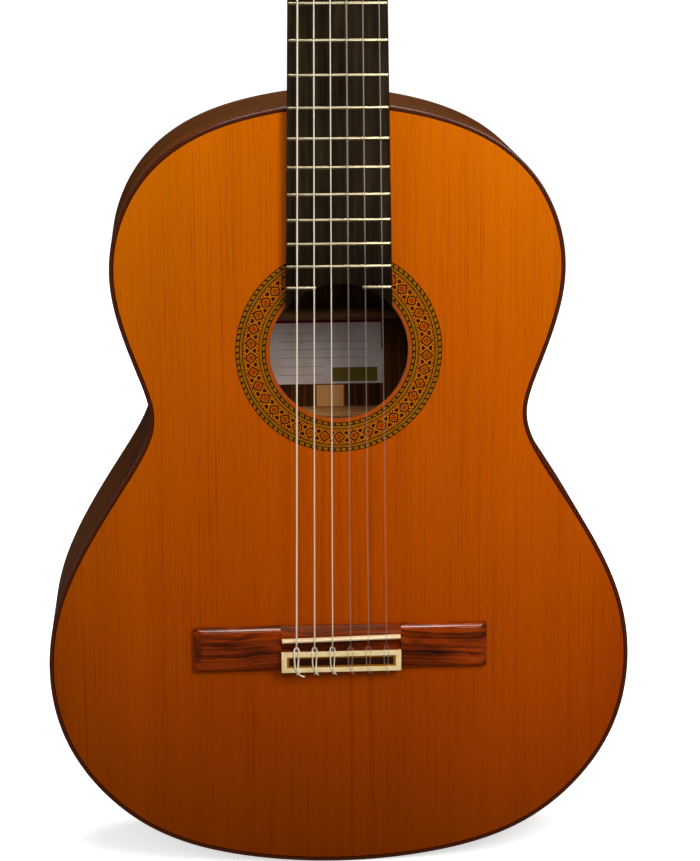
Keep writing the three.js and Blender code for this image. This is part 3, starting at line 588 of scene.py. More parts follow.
def softwood(name, along, across, light, dark, pitch=650):
    """Pale wood with pitch growth lines to the metre."""
    m = Mat(name, rough=0.6, spec=0.3)
    x, y, z = m.axes()
    pick = {"x": x, "y": y, "z": z}
    drift = m.grain((pick[across], 40), (pick[along], 3), 0)
    line = m.wave(pick[across] * pitch + drift * 5)
    fine = m.grain((x, 12 if along == "x" else 900), (y, 900), (z, 12 if along == "z" else 900),
                   detail=3, rough=0.6)
    wide = m.noise(m.here, scale=30)
    mark = line**2.0 * 0.38 + fine * 0.42 + wide * 0.3 + -0.2
    m.set("Base Color", m.mix(m.clamp(mark), srgb(*light), srgb(*dark)))
    m.bump(line + fine, strength=0.15, distance=0.00008)
    return m.result


def make_ebony():
    m = Mat("ebony", rough=0.42, spec=0.035, Specular_Tint=(1.0, 0.84, 0.66))
    x, y, z = m.axes()
    streak = m.grain((x, 330), (y, 200), (z, 4), detail=4, rough=0.6)
    fine = m.grain((x, 1900), (y, 900), (z, 30), detail=3, rough=0.6)
    pores = m.step(m.grain((x, 2600), (y, 2600), (z, 150)), 0.62, 0.72)
    blot = m.grain((x, 120), (y, 60), (z, 22), detail=3, rough=0.55)
    col = m.ramp(streak * 0.6 + fine * 0.35 + blot * 0.5 + -0.22,
                 (0.22, srgb(14, 9, 5)), (0.5, srgb(33, 25, 15)),
                 (0.72, srgb(52, 41, 27)), (1.0, srgb(70, 55, 36)))
    col = m.mix(pores * 0.6, col, srgb(14, 12, 11))
    # paler towards the nut
    paler_near_nut = 0.55 + m.step(z, 0.365, 0.43) * 0.55
    m.set("Base Color", m.mix(1.0, col, m.vec(paler_near_nut, paler_near_nut, paler_near_nut), "MULTIPLY"))
    m.set("Roughness", 0.34 + fine * 0.22)
    m.bump(fine * 0.6 + pores * -0.7, strength=0.18, distance=0.00008)
    return m.result


def make_bone(name, *tint):
    m = Mat(name, rough=0.34, coat=0.15, Subsurface_Weight=0.12,
            Subsurface_Radius=(0.002, 0.0012, 0.0007))
    x, y, z = m.axes()
    mottle = m.noise(m.here, scale=260, detail=3, rough=0.6)
    streak = m.grain((x, 90), (y, 1500), (z, 1500), detail=3)
    stops = ((0.3, (224, 200, 136)), (0.55, (244, 224, 166)), (0.8, (252, 238, 196)))
    stops = [(at, shade(srgb(*c), *tint)) for at, c in stops]
    m.set("Base Color", m.ramp(mottle * 0.6 + streak * 0.4, *stops))
    m.bump(streak, strength=0.08, distance=0.00005)
    return m.result


def make_metal(name, colour, rough, dark, scratch=0.35, bump=0.05):
    m = Mat(name, rough=rough, metal=1.0)
    mottle = m.noise(m.here, scale=180, detail=4, rough=0.6)
    fine = m.grain(*[(axis, 3000) for axis in m.axes()])
    tarnish = m.step(mottle, 0.5, 0.8)
    m.set("Base Color", m.mix(tarnish * 0.45, srgb(*colour), shade(srgb(*colour), dark)))
    m.set("Roughness", rough * 0.7 + fine * (rough * scratch) + tarnish * 0.15)
    m.bump(fine + mottle * 0.3, strength=bump, distance=0.00003)
    return m.result


def make_wound():
    m = Mat("silver_wound", rough=0.3, metal=0.2)
    u = m.axes("UV")[0]
    pitch = 0.00024
    ridge = abs(m.calc("SINE", u * (math.pi / pitch)))
    dull = m.step(m.grain((u, 25), 0, 0, detail=3), 0.45, 0.75)
    m.set("Base Color", m.mix(dull * 0.5, srgb(252, 238, 216), srgb(226, 204, 178)))
    m.set("Roughness", 0.28 + dull * 0.14)
    m.bump(ridge, strength=0.35, distance=0.00005)
    return m.result


def make_nylon():
    m = Mat("clear_nylon", rough=0.12, spec=0.6)
    u, v, _ = m.axes("UV")
    mottle = m.grain((u, 60), (v, 900), 0, detail=3)
    m.set("Base Color", m.mix(mottle, srgb(206, 190, 176), srgb(178, 158, 142)))
    # clear over the pale wood, more solid along the dark fingerboard
    up = m.step(m.axes()[2], 0.375, 0.43)
    m.set("Alpha", 0.11 + mottle * 0.06 + up * 0.24)
    m.set("Roughness", 0.1 + mottle * 0.08)
    return m.result


def make_rope():
    """Diagonal light and dark dashes along a purfling strip: u runs along it, v across."""
    m = Mat("rope_purfling", rough=0.35, coat=0.55, coat_rough=0.05, spec=0.1)
    light, dark = srgb(120, 50, 16), srgb(30, 8, 3)
    pitch = 0.0020
    slant, width = 0.0011, 0.0009           # the dashes lean by slant over this width
    u, v, _ = m.axes("UV")
    # x is weighted by nothing: the pattern depends on u and v alone
    place = u + m.axes()[0] * 0.0 + v * (slant / width)
    dash = m.calc("FRACT", place * (1 / pitch))
    on = m.step(dash, 0.10, 0.16) * (1.0 - m.step(dash, 0.54, 0.60))
    mottle = m.noise(m.here, scale=900)
    m.set("Base Color", m.mix(on, m.mix(mottle, dark, shade(dark, 0.5)),
                              m.mix(mottle, light, shade(light, 0.7))))
    m.bump(on, strength=0.1, distance=0.00003)
    return m.result


def stained(name, first, second, rough=0.36):
    """Small dyed parts: two sRGB tones with a fine grain."""
    m = Mat(name, rough=rough, coat_rough=0.14, spec=0.16, Specular_Tint=(1.0, 0.5, 0.16))
    fine = m.noise(m.here, scale=700, detail=3, rough=0.65)
    wide = m.noise(m.here, scale=700 / 6)
    m.set("Base Color", m.mix(fine * 0.6 + wide * 0.4, srgb(*first), srgb(*second)))
    m.set("Roughness", rough - 0.06 + fine * 0.12)
    m.bump(fine, strength=0.1, distance=0.00003)
    return m.result


def make_paper():
    m = Mat("label_paper", rough=0.85, spec=0.15)
    fibre = m.noise(m.here, scale=1400, detail=4, rough=0.7)
    age = m.noise(m.here, scale=45, detail=3, rough=0.6)
    col = m.mix(m.step(age, 0.35, 0.8), srgb(206, 190, 186), srgb(180, 156, 142))
    m.set("Base Color", m.mix(fibre * 0.25, col, srgb(232, 226, 226)))
    m.bump(fibre, strength=0.2, distance=0.00005)
    return m.result


def make_pearl():
    m = Mat("button_pearl", rough=0.22, coat=0.6, coat_rough=0.06, Subsurface_Weight=0.25,
            Subsurface_Radius=(0.003, 0.002, 0.0015))
    swirl = m.noise(m.here, scale=240, detail=4, rough=0.6, distortion=1.6)
    m.set("Base Color", m.ramp(swirl, (0.3, srgb(206, 190, 158)), (0.5, srgb(236, 228, 208)),
                               (0.7, srgb(250, 246, 236))))
    return m.result


# sRGB tones from the darkest pore to the palest streak
BROWNS = [(22, 10, 4), (58, 30, 10), (92, 52, 18), (128, 78, 30)]
REDS = [(36, 10, 3), (74, 22, 5), (104, 32, 7), (128, 46, 12)]
RIB_TONES = [(30, 12, 2), (76, 37, 5), (112, 59, 10), (146, 84, 18)]
WING_TONES = [(16, 5, 1), (91, 29, 1), (138, 48, 2), (176, 68, 4)]
BRIDGE_TONES = [(14, 4, 1), (88, 28, 1), (132, 46, 3), (166, 64, 6)]
NECK_TONES = [(66, 30, 14), (112, 58, 28), (140, 78, 40), (164, 98, 54)]
BLOCK_TONES = [(92, 50, 28), (138, 84, 50), (160, 104, 64), (180, 124, 80)]
CEDAR = make_top()
RIB_WOOD = rosewood("rosewood_rib", "u v -", RIB_TONES, coat=0.06, bend=2.5, sway=0.007, spec=0.06)
BACK_WOOD = rosewood("rosewood_back", "z |x| y", BROWNS, rough=0.3, coat=0.3)
WING_WOOD = rosewood("rosewood_bridge", "x z y", WING_TONES, rough=0.3, coat=0.7, coat_rough=0.06,
                     fine=2.1, contrast=0.9, bend=18.0, sway=0.014, cloud=1.25, spec=0.1)
BRIDGE_WOOD = rosewood("rosewood_bridge_middle", "x z y", BRIDGE_TONES, rough=0.34, coat=0.1,
                       fine=1.9, contrast=0.8, bend=16.0, sway=0.016, cloud=1.0, spec=0.12)
BINDING = rosewood("rosewood_binding", "u v -", REDS, rough=0.24, coat=0.8, coat_rough=0.06,
                   fine=2.0, contrast=0.8)
HEAD_FACE = rosewood("rosewood_headplate", "z x -", BROWNS, rough=0.3, fine=1.2)
CAP_WOOD, GRAFT_WOOD = (
    rosewood(name, axes, REDS, rough=0.26, coat=0.5, coat_rough=0.1, fine=1.5, contrast=0.9)
    for name, axes in (("rosewood_cap", "z x y"), ("rosewood_graft", "y x z")))
NECK_WOOD = rosewood("neck_wood", "z x y", NECK_TONES, rough=0.38, coat=0.3, fine=1.6,
                     contrast=0.55, coat_rough=0.2)
BLOCK_WOOD = rosewood("block_wood", "z x y", BLOCK_TONES, rough=0.7, coat=0.0, fine=1.6,
                      contrast=0.5)
SPRUCE_CROSS = softwood("brace_spruce_cross", "x", "y", (216, 154, 88), (156, 100, 52))
SPRUCE_LONG = softwood("brace_spruce_long", "z", "x", (228, 162, 92), (176, 116, 60), pitch=420)
SPRUCE_DARK = softwood("brace_spruce_shaded", "x", "y", (140, 96, 58), (96, 60, 32))
EBONY = make_ebony()
BONE = make_bone("bone", 1.08, 1.04, 1.07)
SADDLE_BONE = make_bone("saddle_bone", 1.0, 0.95, 1.12)
FRET_METAL = make_metal("fret_nickel_silver", (180, 166, 134), rough=0.42, dark=0.85,
                        scratch=0.08, bump=0.0)
BRASS = make_metal("machine_brass", (222, 186, 104), rough=0.36, dark=0.6)
STEEL = make_metal("machine_steel", (214, 212, 206), rough=0.32, dark=0.65)
WOUND = make_wound()
NYLON = make_nylon()
ROPE = make_rope()
BLACK = stained("dyed_black_line", (26, 9, 1), (50, 20, 3))
PALE = stained("maple_line", (206, 150, 84), (172, 112, 56))
OLIVE = stained("olive_gold_line", (167, 106, 14), (126, 77, 7))
GOLD = stained("mosaic_gold", (204, 112, 7), (156, 78, 3))
TILE_RED = stained("mosaic_red", (196, 70, 8), (156, 46, 4))
TILE_BLACK = stained("mosaic_black", (24, 8, 1), (50, 19, 3))
PAPER = make_paper()
LABEL_RED = stained("label_border_red", (150, 22, 26), (120, 14, 20), rough=0.8)
LABEL_GREY = stained("label_rule_grey", (150, 140, 142), (120, 110, 112), rough=0.85)
LABEL_OLIVE = stained("label_seal_olive", (120, 104, 40), (88, 74, 28), rough=0.6)
PEARL = make_pearl()
PANEL = stained("tie_block_panel_wood", (30, 12, 4), (54, 24, 10))
ROLLER_PLASTIC = make_bone("roller_plastic", 1.0, 1.0, 1.05)

# ------------------------------------------------------------------ body outline
# three mirrored points lead the spline smoothly across the middle of the tail
control = np.array(CONTROL, float)
control = np.vstack([control[1:4][::-1] * [-1, 1], control])
spans = len(control) - 3
knots = np.clip(np.arange(len(control) + 4) - 3, 0, spans).astype(float)


def bspline(u):
    """De Boor's evaluation of the cubic through the control points."""
    k = min(len(control) - 1, 3 + int(u))
    d = [control[j + k - 3].copy() for j in range(4)]
    for r in range(1, 4):
        for j in range(3, r - 1, -1):
            lo, hi = knots[j + k - 3], knots[j + 1 + k - r]
            a = (u - lo) / (hi - lo)
            d[j] = (1 - a) * d[j - 1] + a * d[j]
    return d[3]


HALF = 400                                 # steps along half the outline
inner_line = np.array([bspline(u) for u in np.linspace(0, spans - 1e-9, 2400)])
heading = unit_rows(np.gradient(inner_line, axis=0))
edge = inner_line + np.c_[heading[:, 1], -heading[:, 0]] * 3.0
edge = np.vstack([[0, 0], edge[edge[:, 0] >= 0], [0, BODY]])
length = arc_lengths(edge)
steps = np.linspace(0, length[-1], HALF + 1)
HALF_EDGE = np.c_[np.interp(steps, length, edge[:, 0]), np.interp(steps, length, edge[:, 1])]
HALF_EDGE[0], HALF_EDGE[-1] = (0, 0), (0, BODY)
# the whole outline as (x, z): from the tail up the treble side and down the bass side
EDGE = np.vstack([HALF_EDGE, (HALF_EDGE * [-1, 1])[1:-1][::-1]])
EDGE_N = len(EDGE)
heading = unit_rows(np.roll(EDGE, -1, axis=0) - np.roll(EDGE, 1, axis=0))
INWARD = np.c_[-heading[:, 1], heading[:, 0]]


def inset(d):
    return EDGE + INWARD * d


brace_line = inset(9)[: HALF + 1]
plate_half = inset(BIND + 0.05)[: HALF + 1]


def brace_reach(z):
    return float(np.interp(z, brace_line[:, 1], brace_line[:, 0]))


def arch(x, z):
    """How far the back bulges beyond its rim."""
    w = float(np.interp(z, plate_half[:, 1], plate_half[:, 0]))
    v = (z - BODY / 2) / (BODY / 2)
    return 4.0 * max(0.0, 1 - (x / w) ** 2) * max(0.0, 1 - v**4) if w > 1 else 0.0


def back_inner(x, z):
    return FRONT + rib_back(z) - BACK_T + arch(x, z)


def sweep(name, section, mat, slot="rosewood", ids=None, **kw):
    """Sweeps section(z) -> [(inset, depth)] round the outline, or over the given stretch."""
    closed = ids is None
    ids = list(range(EDGE_N)) if closed else [i % EDGE_N for i in ids]
    rings = [[(x + nx * d, FRONT + y, z + nz * d) for d, y in section(max(0.0, min(BODY, z)))]
             for (x, z), (nx, nz) in zip(EDGE[ids], INWARD[ids])]
    along = arc_lengths(EDGE[ids + ids[:1]])
    add_skin(name, rings, mat, slot, closed=closed, along=along, fan=False, **kw)


def strip(d0, d1, y0, y1):
    return [(d0, y0), (d1, y0), (d1, y1), (d0, y1)]


# ------------------------------------------------------------------ soundboard
# recess for the rosette and the rounded lip of the hole, as (radius, depth)
RECESS = [
    (ROSETTE_OUT + 0.03, 0.0), (ROSETTE_OUT + 0.03, 1.52), (ROSETTE_IN - 0.03, 1.52),
    (ROSETTE_IN - 0.03, 0.0), (HOLE_R + 0.75, 0.0), (HOLE_R + 0.38, 0.07), (HOLE_R + 0.12, 0.28),
    (HOLE_R, 0.62), (HOLE_R, TOP_T - 0.3), (HOLE_R + 0.3, TOP_T),
]
rings = []
for x, z in inset(BIND + 0.04):
    a = math.atan2(z - HOLE_Z, x)
    rad = math.hypot(x, z - HOLE_Z)
    section = [(lerp(rad, ROSETTE_OUT + 0.03, t), 0.0) for t in (0, 0.12, 0.3, 0.5, 0.7, 0.88)]
    section += RECESS + [(lerp(HOLE_R + 0.3, rad, t), TOP_T) for t in (0.1, 0.4, 0.7)]
    section += [(rad, TOP_T)]
    rings.append([(r * math.cos(a), FRONT + y, HOLE_Z + r * math.sin(a)) for r, y in section])
add_skin("soundboard", rings, CEDAR, "cedar", closed=True, replaces="soundboard", angle=25)

# ------------------------------------------------------------------ rosette rings
RING_STEPS = 200
# each kind's (inner radius, outer radius) rings, from the outside in
BANDS = {
    "black_lines": (BLACK, None, [(62.55, 63.00), (60.25, 60.80), (58.45, 59.05), (48.35, 48.85),
                                  (46.45, 47.05), (44.60, 45.10)]),
    "olive_lines": (OLIVE, None, [(60.80, 62.55), (59.05, 60.25), (47.05, 48.35), (45.10, 46.45)]),
    "mosaic_ground": (GOLD, "rosette", [(48.85, 58.45)]),
}
for kind, (mat, replaced, bands) in BANDS.items():
    verts, faces = [], []
    for r_in, r_out in bands:
        base = len(verts)
        for i in range(RING_STEPS):
            a = TURN * i / RING_STEPS
            here, after = base + i * 4, base + (i + 1) % RING_STEPS * 4
            verts += [(r * math.cos(a), FRONT + y, HOLE_Z + r * math.sin(a))
                      for r, y in strip(r_in, r_out, 0.0, 1.5)]
            for k in range(4):
                j = (k + 1) % 4
                faces.append((here + k, here + j, after + j, after + k))
    add_mesh("rosette_" + kind, verts, faces, mat, "mosaic", replaces=replaced)


# ------------------------------------------------------------------ rosette tiles
class Tiles:
    """Flat tiles let into the rosette. Points are (along the ring, outward) from a centre
    given by its angle and radius."""

    def __init__(self):
        self.verts, self.faces = [], []

    def add(self, points, centre, radius, top=-0.014):
        n, b = len(points), len(self.verts)
        for y in (top, 0.7):
            for u, v in points:
                a, r = centre + u / radius, radius + v
                self.verts.append((r * math.cos(a), FRONT + y, HOLE_Z + r * math.sin(a)))
        self.faces += [tuple(range(b, b + n)), tuple(range(b + 2 * n - 1, b + n - 1, -1))]
        self.faces += [(b + i, b + n + i, b + n + (i + 1) % n, b + (i + 1) % n)
                       for i in range(n)]

    def line(self, start, end, width, *where, **kw):
        start, end = np.array(start, float), np.array(end, float)
        d = end - start
        n = np.array([-d[1], d[0]]) / np.linalg.norm(d) * width / 2
        self.add([start + n, end + n, end - n, start - n], *where, **kw)


MOTIFS, MOTIF_R = 37.6, 53.65              # motifs in a full turn, and the radius they sit at
half_cell = TURN * MOTIF_R / MOTIFS / 2
OCTAGON = [(2.85, 0.6), (0.85, 2.55), (-0.85, 2.55), (-2.85, 0.6), (-2.85, -0.6),
           (-0.85, -2.55), (0.85, -2.55), (2.85, -0.6)]
DIAMOND = [(1.75, 0), (0, 1.6), (-1.75, 0), (0, -1.6)]
black, red = Tiles(), Tiles()
for k in range(-16, 17):
    at = (TURN * k / MOTIFS - math.pi / 2, MOTIF_R)
    # an octagon, thick where it faces its neighbours, with a red diamond in it
    for p, q in zip(OCTAGON, OCTAGON[1:] + OCTAGON[:1]):
        end = abs(p[0]) > 2.8 or abs(q[0]) > 2.8
        black.line((p[0] * 1.02, p[1] * 1.02), (q[0] * 1.02, q[1] * 1.02),
                   0.8 if end else 0.62, *at)
    red.add(DIAMOND, *at)
    for p, q in zip(DIAMOND, DIAMOND[1:] + DIAMOND[:1]):
        black.line(p, q, 0.3, *at, top=-0.018)
    black.line((-0.7, 0), (0.7, 0), 0.18, *at, top=-0.018)
    black.line((0, -0.65), (0, 0.65), 0.18, *at, top=-0.018)
    for w in (-1, 1):
        # lattice beside the octagon, towards the ring's two edges
        for u, v in ((-0.85, 2.6), (0.85, 2.6), (-1.15, 4.65), (1.15, 4.65)):
            black.line((u, w * v), (0.0, w * 3.4), 0.42, *at)
        red.add([(0.55, w * 4.35), (0.0, w * 3.75), (-0.55, w * 4.35)][::w], *at)
        for s in (-1, 1):
            black.line((s * 1.25, w * 2.5), (s * 3.0, w * 4.6), 0.42, *at)
            # dark wedges at the border with the next motif
            for wedge in (((0.01, 0.8), (0.01, 3.3), (1.25, 3.0), (1.45, 2.2)),
                          ((0.02, 4.62), (0.95, 4.62), (0.02, 3.85))):
                black.add([(s * (half_cell - u), w * v) for u, v in wedge][:: s * w], *at)
    for s in (-1, 1):
        small = ((0.85, 0.0), (1.25, 0.4), (1.6, 0.0), (1.25, -0.4))
        black.add([(s * (half_cell - u), v) for u, v in small][::s], *at, top=-0.02)
# slanted dashes in two olive rings: radii, count in a turn, last index, start and slant
for r_in, r_out, count, last, start, slant in ((60.90, 62.53, 103.25, 44, 0.22, 0.60),
                                               (45.12, 46.40, 74.5, 29, 0.28, 0.50)):
    radius, half = (r_in + r_out) / 2, (r_out - r_in) / 2
    w, lean = TURN * radius / count * 0.155, slant / 2
    tile = [(-w - lean, -half), (w - lean, -half), (w * 1.25 + lean, half),
            (-w * 0.75 + lean, half)]
    for k in range(-last, last + 1):
        black.add(tile, TURN * (k + start) / count - math.pi / 2, radius)
add_mesh("rosette_black_tiles", black.verts, black.faces, TILE_BLACK, "mosaic")
add_mesh("rosette_red_tiles", red.verts, red.faces, TILE_RED, "mosaic")

# ------------------------------------------------------------------ bindings and purflings
NECK_HALF = 30.6
BACK_LEDGE = BIND - 0.6                    # where the back binding meets its purfling
neck_index = int(np.argmax((HALF_EDGE[:, 1] > 470) & (HALF_EDGE[:, 0] < NECK_HALF)))
around = range(-neck_index, neck_index + 1)     # bass side of the neck, tail, treble side
TOP_BINDING = [(0.0, 0.75), (0.06, 0.42), (0.24, 0.16), (0.36, 0.095), (0.36, 1.2), (1.45, 1.2),
               (1.45, 6.0), (0.0, 6.0)]
TOP_ROPE = [(0.37, 0.09), (0.55, 0.025), (0.8, 0.0), (1.5, 0.0), (2.2, 0.0), (2.2, 1.19),
            (0.37, 1.19)]
sweep("top_binding", lambda z: TOP_BINDING, BINDING, ids=around, replaces="top_binding")
sweep("top_purfling_black_outer", lambda z: strip(1.46, 2.19, 1.21, 5.9), BLACK, ids=around)
sweep("top_purfling_rope", lambda z: TOP_ROPE, ROPE, "mosaic", ids=around)
sweep("top_purfling_black_inner", lambda z: strip(2.21, 2.83, 0.0, 2.4), BLACK, ids=around)
sweep("side_purfling_top", lambda z: strip(-0.01, 1.2, 6.02, 6.35), PALE, ids=around)


def back_binding(z):
    section = [(0.0, -5.0), (BACK_LEDGE, -5.0), (BACK_LEDGE, 0), (0.8, 0), (0.5, -0.03),
               (0.24, -0.16), (0.06, -0.42), (0.0, -0.75)]
    return [(d, rib_back(z) + y) for d, y in section]


sweep("back_binding", back_binding, BINDING, replaces="back_binding")
sweep("back_purfling",
      lambda z: strip(BACK_LEDGE, BIND + 0.03, rib_back(z) - 2.0, rib_back(z)), PALE)
sweep("side_purfling_back",
      lambda z: strip(-0.01, 1.2, rib_back(z) - 5.35, rib_back(z) - 5.02), PALE)

# ------------------------------------------------------------------ ribs and end graft
GRAFT = 12.0
RIB_FRONT, RIB_GAP = 6.4, 5.4              # from the front, and short of the back
rib_start = int(np.argmax(HALF_EDGE[:, 0] > GRAFT))
rib_end = HALF - int(np.argmax(HALF_EDGE[::-1, 0] > 8.3))


def rib_section(z):
    depths = np.linspace(RIB_FRONT, rib_back(z) - RIB_GAP, 5)
    return [(0.0, y) for y in depths] + [(RIB_T, y) for y in depths[::-1]]


for s, side in SIDES[::-1]:
    name = "side_" + side
    ids = [s * i for i in range(rib_start, rib_end + 1)]
    sweep(name, rib_section, RIB_WOOD, ids=ids, replaces=name)

graft_front, graft_back = FRONT + RIB_FRONT, FRONT + rib_back(0) - RIB_GAP


def graft_strip(front0, front1, back1, back0, s=1, base=0.0):
    """A tapered strip over the tail, from its x at the front to its x at the back."""
    loop = [(s * front0, graft_front), (s * front1, graft_front),
            (s * back1, graft_back), (s * back0, graft_back)]
    return prism(loop[::s], base, 2.2, "xy")


add_solid(bevelled(graft_strip(-7.6, 7.6, 11.0, -11.0), 0.1, 1), "end_graft", GRAFT_WOOD,
          "rosewood", replaces="end_graft")
for s, side in SIDES:
    add_solid(graft_strip(7.65, 8.3, 11.7, 11.05, s), "end_graft_line_" + side, PALE, "rosewood")
    add_solid(graft_strip(8.32, GRAFT + 0.02, GRAFT + 0.02, 11.72, s, 0.02),
              "end_graft_cheek_" + side, GRAFT_WOOD, "rosewood")

# ------------------------------------------------------------------ arched back
STRIP_HALF, STRIP_CORE = 1.3, 0.65         # the centre strip, and its middle


def back_half(name, s, **kw):
    cells = 22
    rings = []
    for w, z in plate_half[2 : HALF - 1 : 2]:
        w = max(w, STRIP_HALF + 0.3)
        xs = [lerp(STRIP_HALF, w, t / cells) for t in range(cells + 1)]
        outer = [(s * x, FRONT + rib_back(z) + arch(x, z), z) for x in xs]
        inner = [(s * x, back_inner(x, z), z) for x in xs]
        rings.append(outer + inner[::-1])
    add_skin(name, rings, BACK_WOOD, "rosewood", fan=False, **kw)


back_half("back_treble", 1, replaces="back_plate")
back_half("back_bass", -1)
for name, x0, x1, mat in (("middle", -STRIP_CORE, STRIP_CORE, BINDING),
                          ("line_treble", STRIP_CORE, STRIP_HALF, PALE),
                          ("line_bass", -STRIP_HALF, -STRIP_CORE, PALE)):
    rings = []
    for z in np.linspace(plate_half[2][1], plate_half[HALF - 2][1], 120):
        y = FRONT + rib_back(z) + arch(0, z)
        rings.append([(x0, y + 0.01, z), (x1, y + 0.01, z), (x1, y - 2.3, z), (x0, y - 2.3, z)])
    add_skin("back_strip_" + name, rings, mat, "rosewood", fan=False)

# ------------------------------------------------------------------ linings and tail block
# separate wedge-shaped glue blocks round the soundboard's rim
edge_at = arc_lengths(EDGE)
verts, faces = [], []
lining_y = TOP_T + 0.1
at = 14.0
while at < edge_at[HALF] - 46:
    for side in (1, -1):
        b = len(verts)
        for forward in (0.0, 5.6):
            j = int(np.searchsorted(edge_at, at + forward))
            (x, z), (nx, nz) = EDGE[j], INWARD[j]
            for d, y in ((0.05, 0), (5.4, 0), (1.2, 10.5), (0.05, 10.5)):
                d += RIB_T
                verts.append((side * (x + nx * d), FRONT + lining_y + y, z + nz * d))
        faces += [(b, b + 1, b + 2, b + 3), (b + 7, b + 6, b + 5, b + 4)]
        faces += [(b + k, b + 4 + k, b + 4 + (k + 1) % 4, b + (k + 1) % 4) for k in range(4)]
    at += 7.6
add_mesh("lining_blocks_top", verts, faces, SPRUCE_LONG, "spruce")


def back_lining(z):
    # (inside the rib, short of the back)
    section = ((0.02, 4.9), (0.02, 17), (2.2, 16.2), (5.6, 4.9), (5.6, BACK_T + 0.05),
               (0.7, BACK_T + 0.05))
    return [(RIB_T + d, rib_back(z) - y) for d, y in section]


sweep("lining_back", back_lining, BLOCK_WOOD, "mahogany", ids=range(14 - rib_end, rib_end - 13))
TAIL_BLOCK = [(-37, 3.1), (37, 3.1), (37, 12.0), (33, 16.6), (-33, 16.6), (-37, 12.0)]
block = prism(TAIL_BLOCK, FRONT + lining_y, FRONT + rib_back(0) - BACK_T - 0.3)
add_solid(bevelled(block, 0.8), "tail_block", BLOCK_WOOD, "mahogany", replaces="tail_block")

# ------------------------------------------------------------------ braces
# half of the rounded section, as (part of the width, part of the height)
BAR_SIDE = [(-0.5, 0.0), (-0.5, 0.35), (-0.46, 0.62), (-0.34, 0.84), (-0.17, 0.96)]
BAR_SECTION = BAR_SIDE + [(0.0, 1.0)] + [(-a, b) for a, b in BAR_SIDE[::-1]]


def top_inner(x, z):
    return FRONT + TOP_T + 0.06


def back_seat(x, z):
    return back_inner(x, z) - 0.05


def bar(name, start, end, width, height, mat, base=top_inner, stands=1, taper=16, **kw):
    """A brace between two (x, z) points, thinned at both ends. base is the plate's surface
    and stands the way the brace rises from it in y."""
    start, end = np.array(start, float), np.array(end, float)
    size = np.linalg.norm(end - start)
    t = (end - start) / size
    normal = np.array([-t[1], t[0]])
    rings = []
    for s in np.r_[np.linspace(0, taper, 8), np.linspace(taper, size - taper, 24)[1:-1],
                   np.linspace(size - taper, size, 8)]:
        h = height * (0.22 + 0.78 * smooth(min(s, size - s) / taper))
        ring = []
        for a, b in BAR_SECTION:
            x, z = start + t * s + normal * a * width
            ring.append((x, base(x, z) + stands * h * b, z))
        rings.append(ring)
    add_skin(name, rings, mat, "spruce", fan=False, **kw)


LOW_Z = 258.0                              # the bar below the soundhole
reach = brace_reach(LOW_Z)
bar("harmonic_bar_lower", (-reach, LOW_Z), (reach, LOW_Z), 6, 16, SPRUCE_CROSS,
    replaces="top_bracing")
bar("harmonic_bar_upper", (-108, 402), (108, 402), 6, 16, SPRUCE_CROSS)
FAN = ((-96, 62), (-64, 44), (-32, 30), (0, 26), (32, 30), (64, 44), (96, 62))    # lower ends
for k, (x, z) in enumerate(FAN):
    bar(f"fan_strut_{k + 1}", (x * 0.36, LOW_Z - 5), (x, z), 5, 4.4, SPRUCE_LONG)
for s, side in SIDES:
    bar(f"closing_bar_{side}", (s * 4, 31), (s * 116, 77), 5, 3.4, SPRUCE_CROSS)
    bar(f"soundhole_strut_{side}", (s * 68, LOW_Z + 5), (s * 68, 397), 7, 6, SPRUCE_LONG)
for k, (z, width, mat, replaced) in enumerate((
        (118.0, 7, SPRUCE_CROSS, None), (194.0, 7, SPRUCE_CROSS, None),
        (270.0, 7, SPRUCE_CROSS, "back_bracing"), (335.6, 8, SPRUCE_DARK, None))):
    reach = brace_reach(z)
    bar(f"back_brace_{k + 1}", (-reach, z), (reach, z), width, 14, mat, back_seat, -1, 30,
        replaces=replaced)
# strips over the back's centre joint, between the braces
for k, (z0, z1) in enumerate(((20, 114), (122, 190), (198, 266), (274, 287.8), (341, 402))):
    rings = []
    for z in np.linspace(z0, z1, max(4, int((z1 - z0) / 5))):
        thick = 2.5                        # the short strip isn't thinned at its ends
        if z1 - z0 > 20:
            thick = 2.6 * (0.45 + 0.55 * smooth(min(z - z0 + 0.4, z1 - z + 0.4) / 3))
        rings.append([
            (x, back_seat(x, z) - (0 if abs(x) > 8.9 else thick * (1 - (x / 9) ** 6 * 0.25)), z)
            for x in (-9, -8.8, -8, -6, -3, 0, 3, 6, 8, 8.8, 9)])
    # above z = 300 the strip takes the dark back wood instead of spruce: painted shade, as it lies
    # in shadow under the fingerboard's end
    add_skin(f"back_joint_strip_{k + 1}", rings, BACK_WOOD if z0 > 300 else SPRUCE_LONG,
             "spruce", fan=False)


# ------------------------------------------------------------------ paper label inside the back
def sheet(name, x0, x1, z0, z1, mat, thick, lift=0.40, nx=28, nz=10):
    """A thin sheet that follows the inside of the back."""
    grid = [(lerp(x0, x1, i / nx), lerp(z0, z1, j / nz))
            for j in range(nz + 1) for i in range(nx + 1)]
    verts = [(x, back_inner(x, z) - lift - t, z) for t in (thick, 0) for x, z in grid]
    n, row = len(grid), nx + 1
    faces = []
    for j in range(nz):
        for i in range(nx):
            a = j * row + i
            faces += [(a, a + 1, a + row + 1, a + row),
                      (n + a + row, n + a + row + 1, n + a + 1, n + a)]
    rim = list(range(row)) + [j * row + nx for j in range(1, nz + 1)]
    rim += [nz * row + i for i in range(nx - 1, -1, -1)] + [j * row for j in range(nz - 1, 0, -1)]
    faces += [(a, n + a, n + b, b) for a, b in zip(rim, rim[1:] + rim[:1])]
    add_mesh(name, verts, faces, mat, "mosaic")


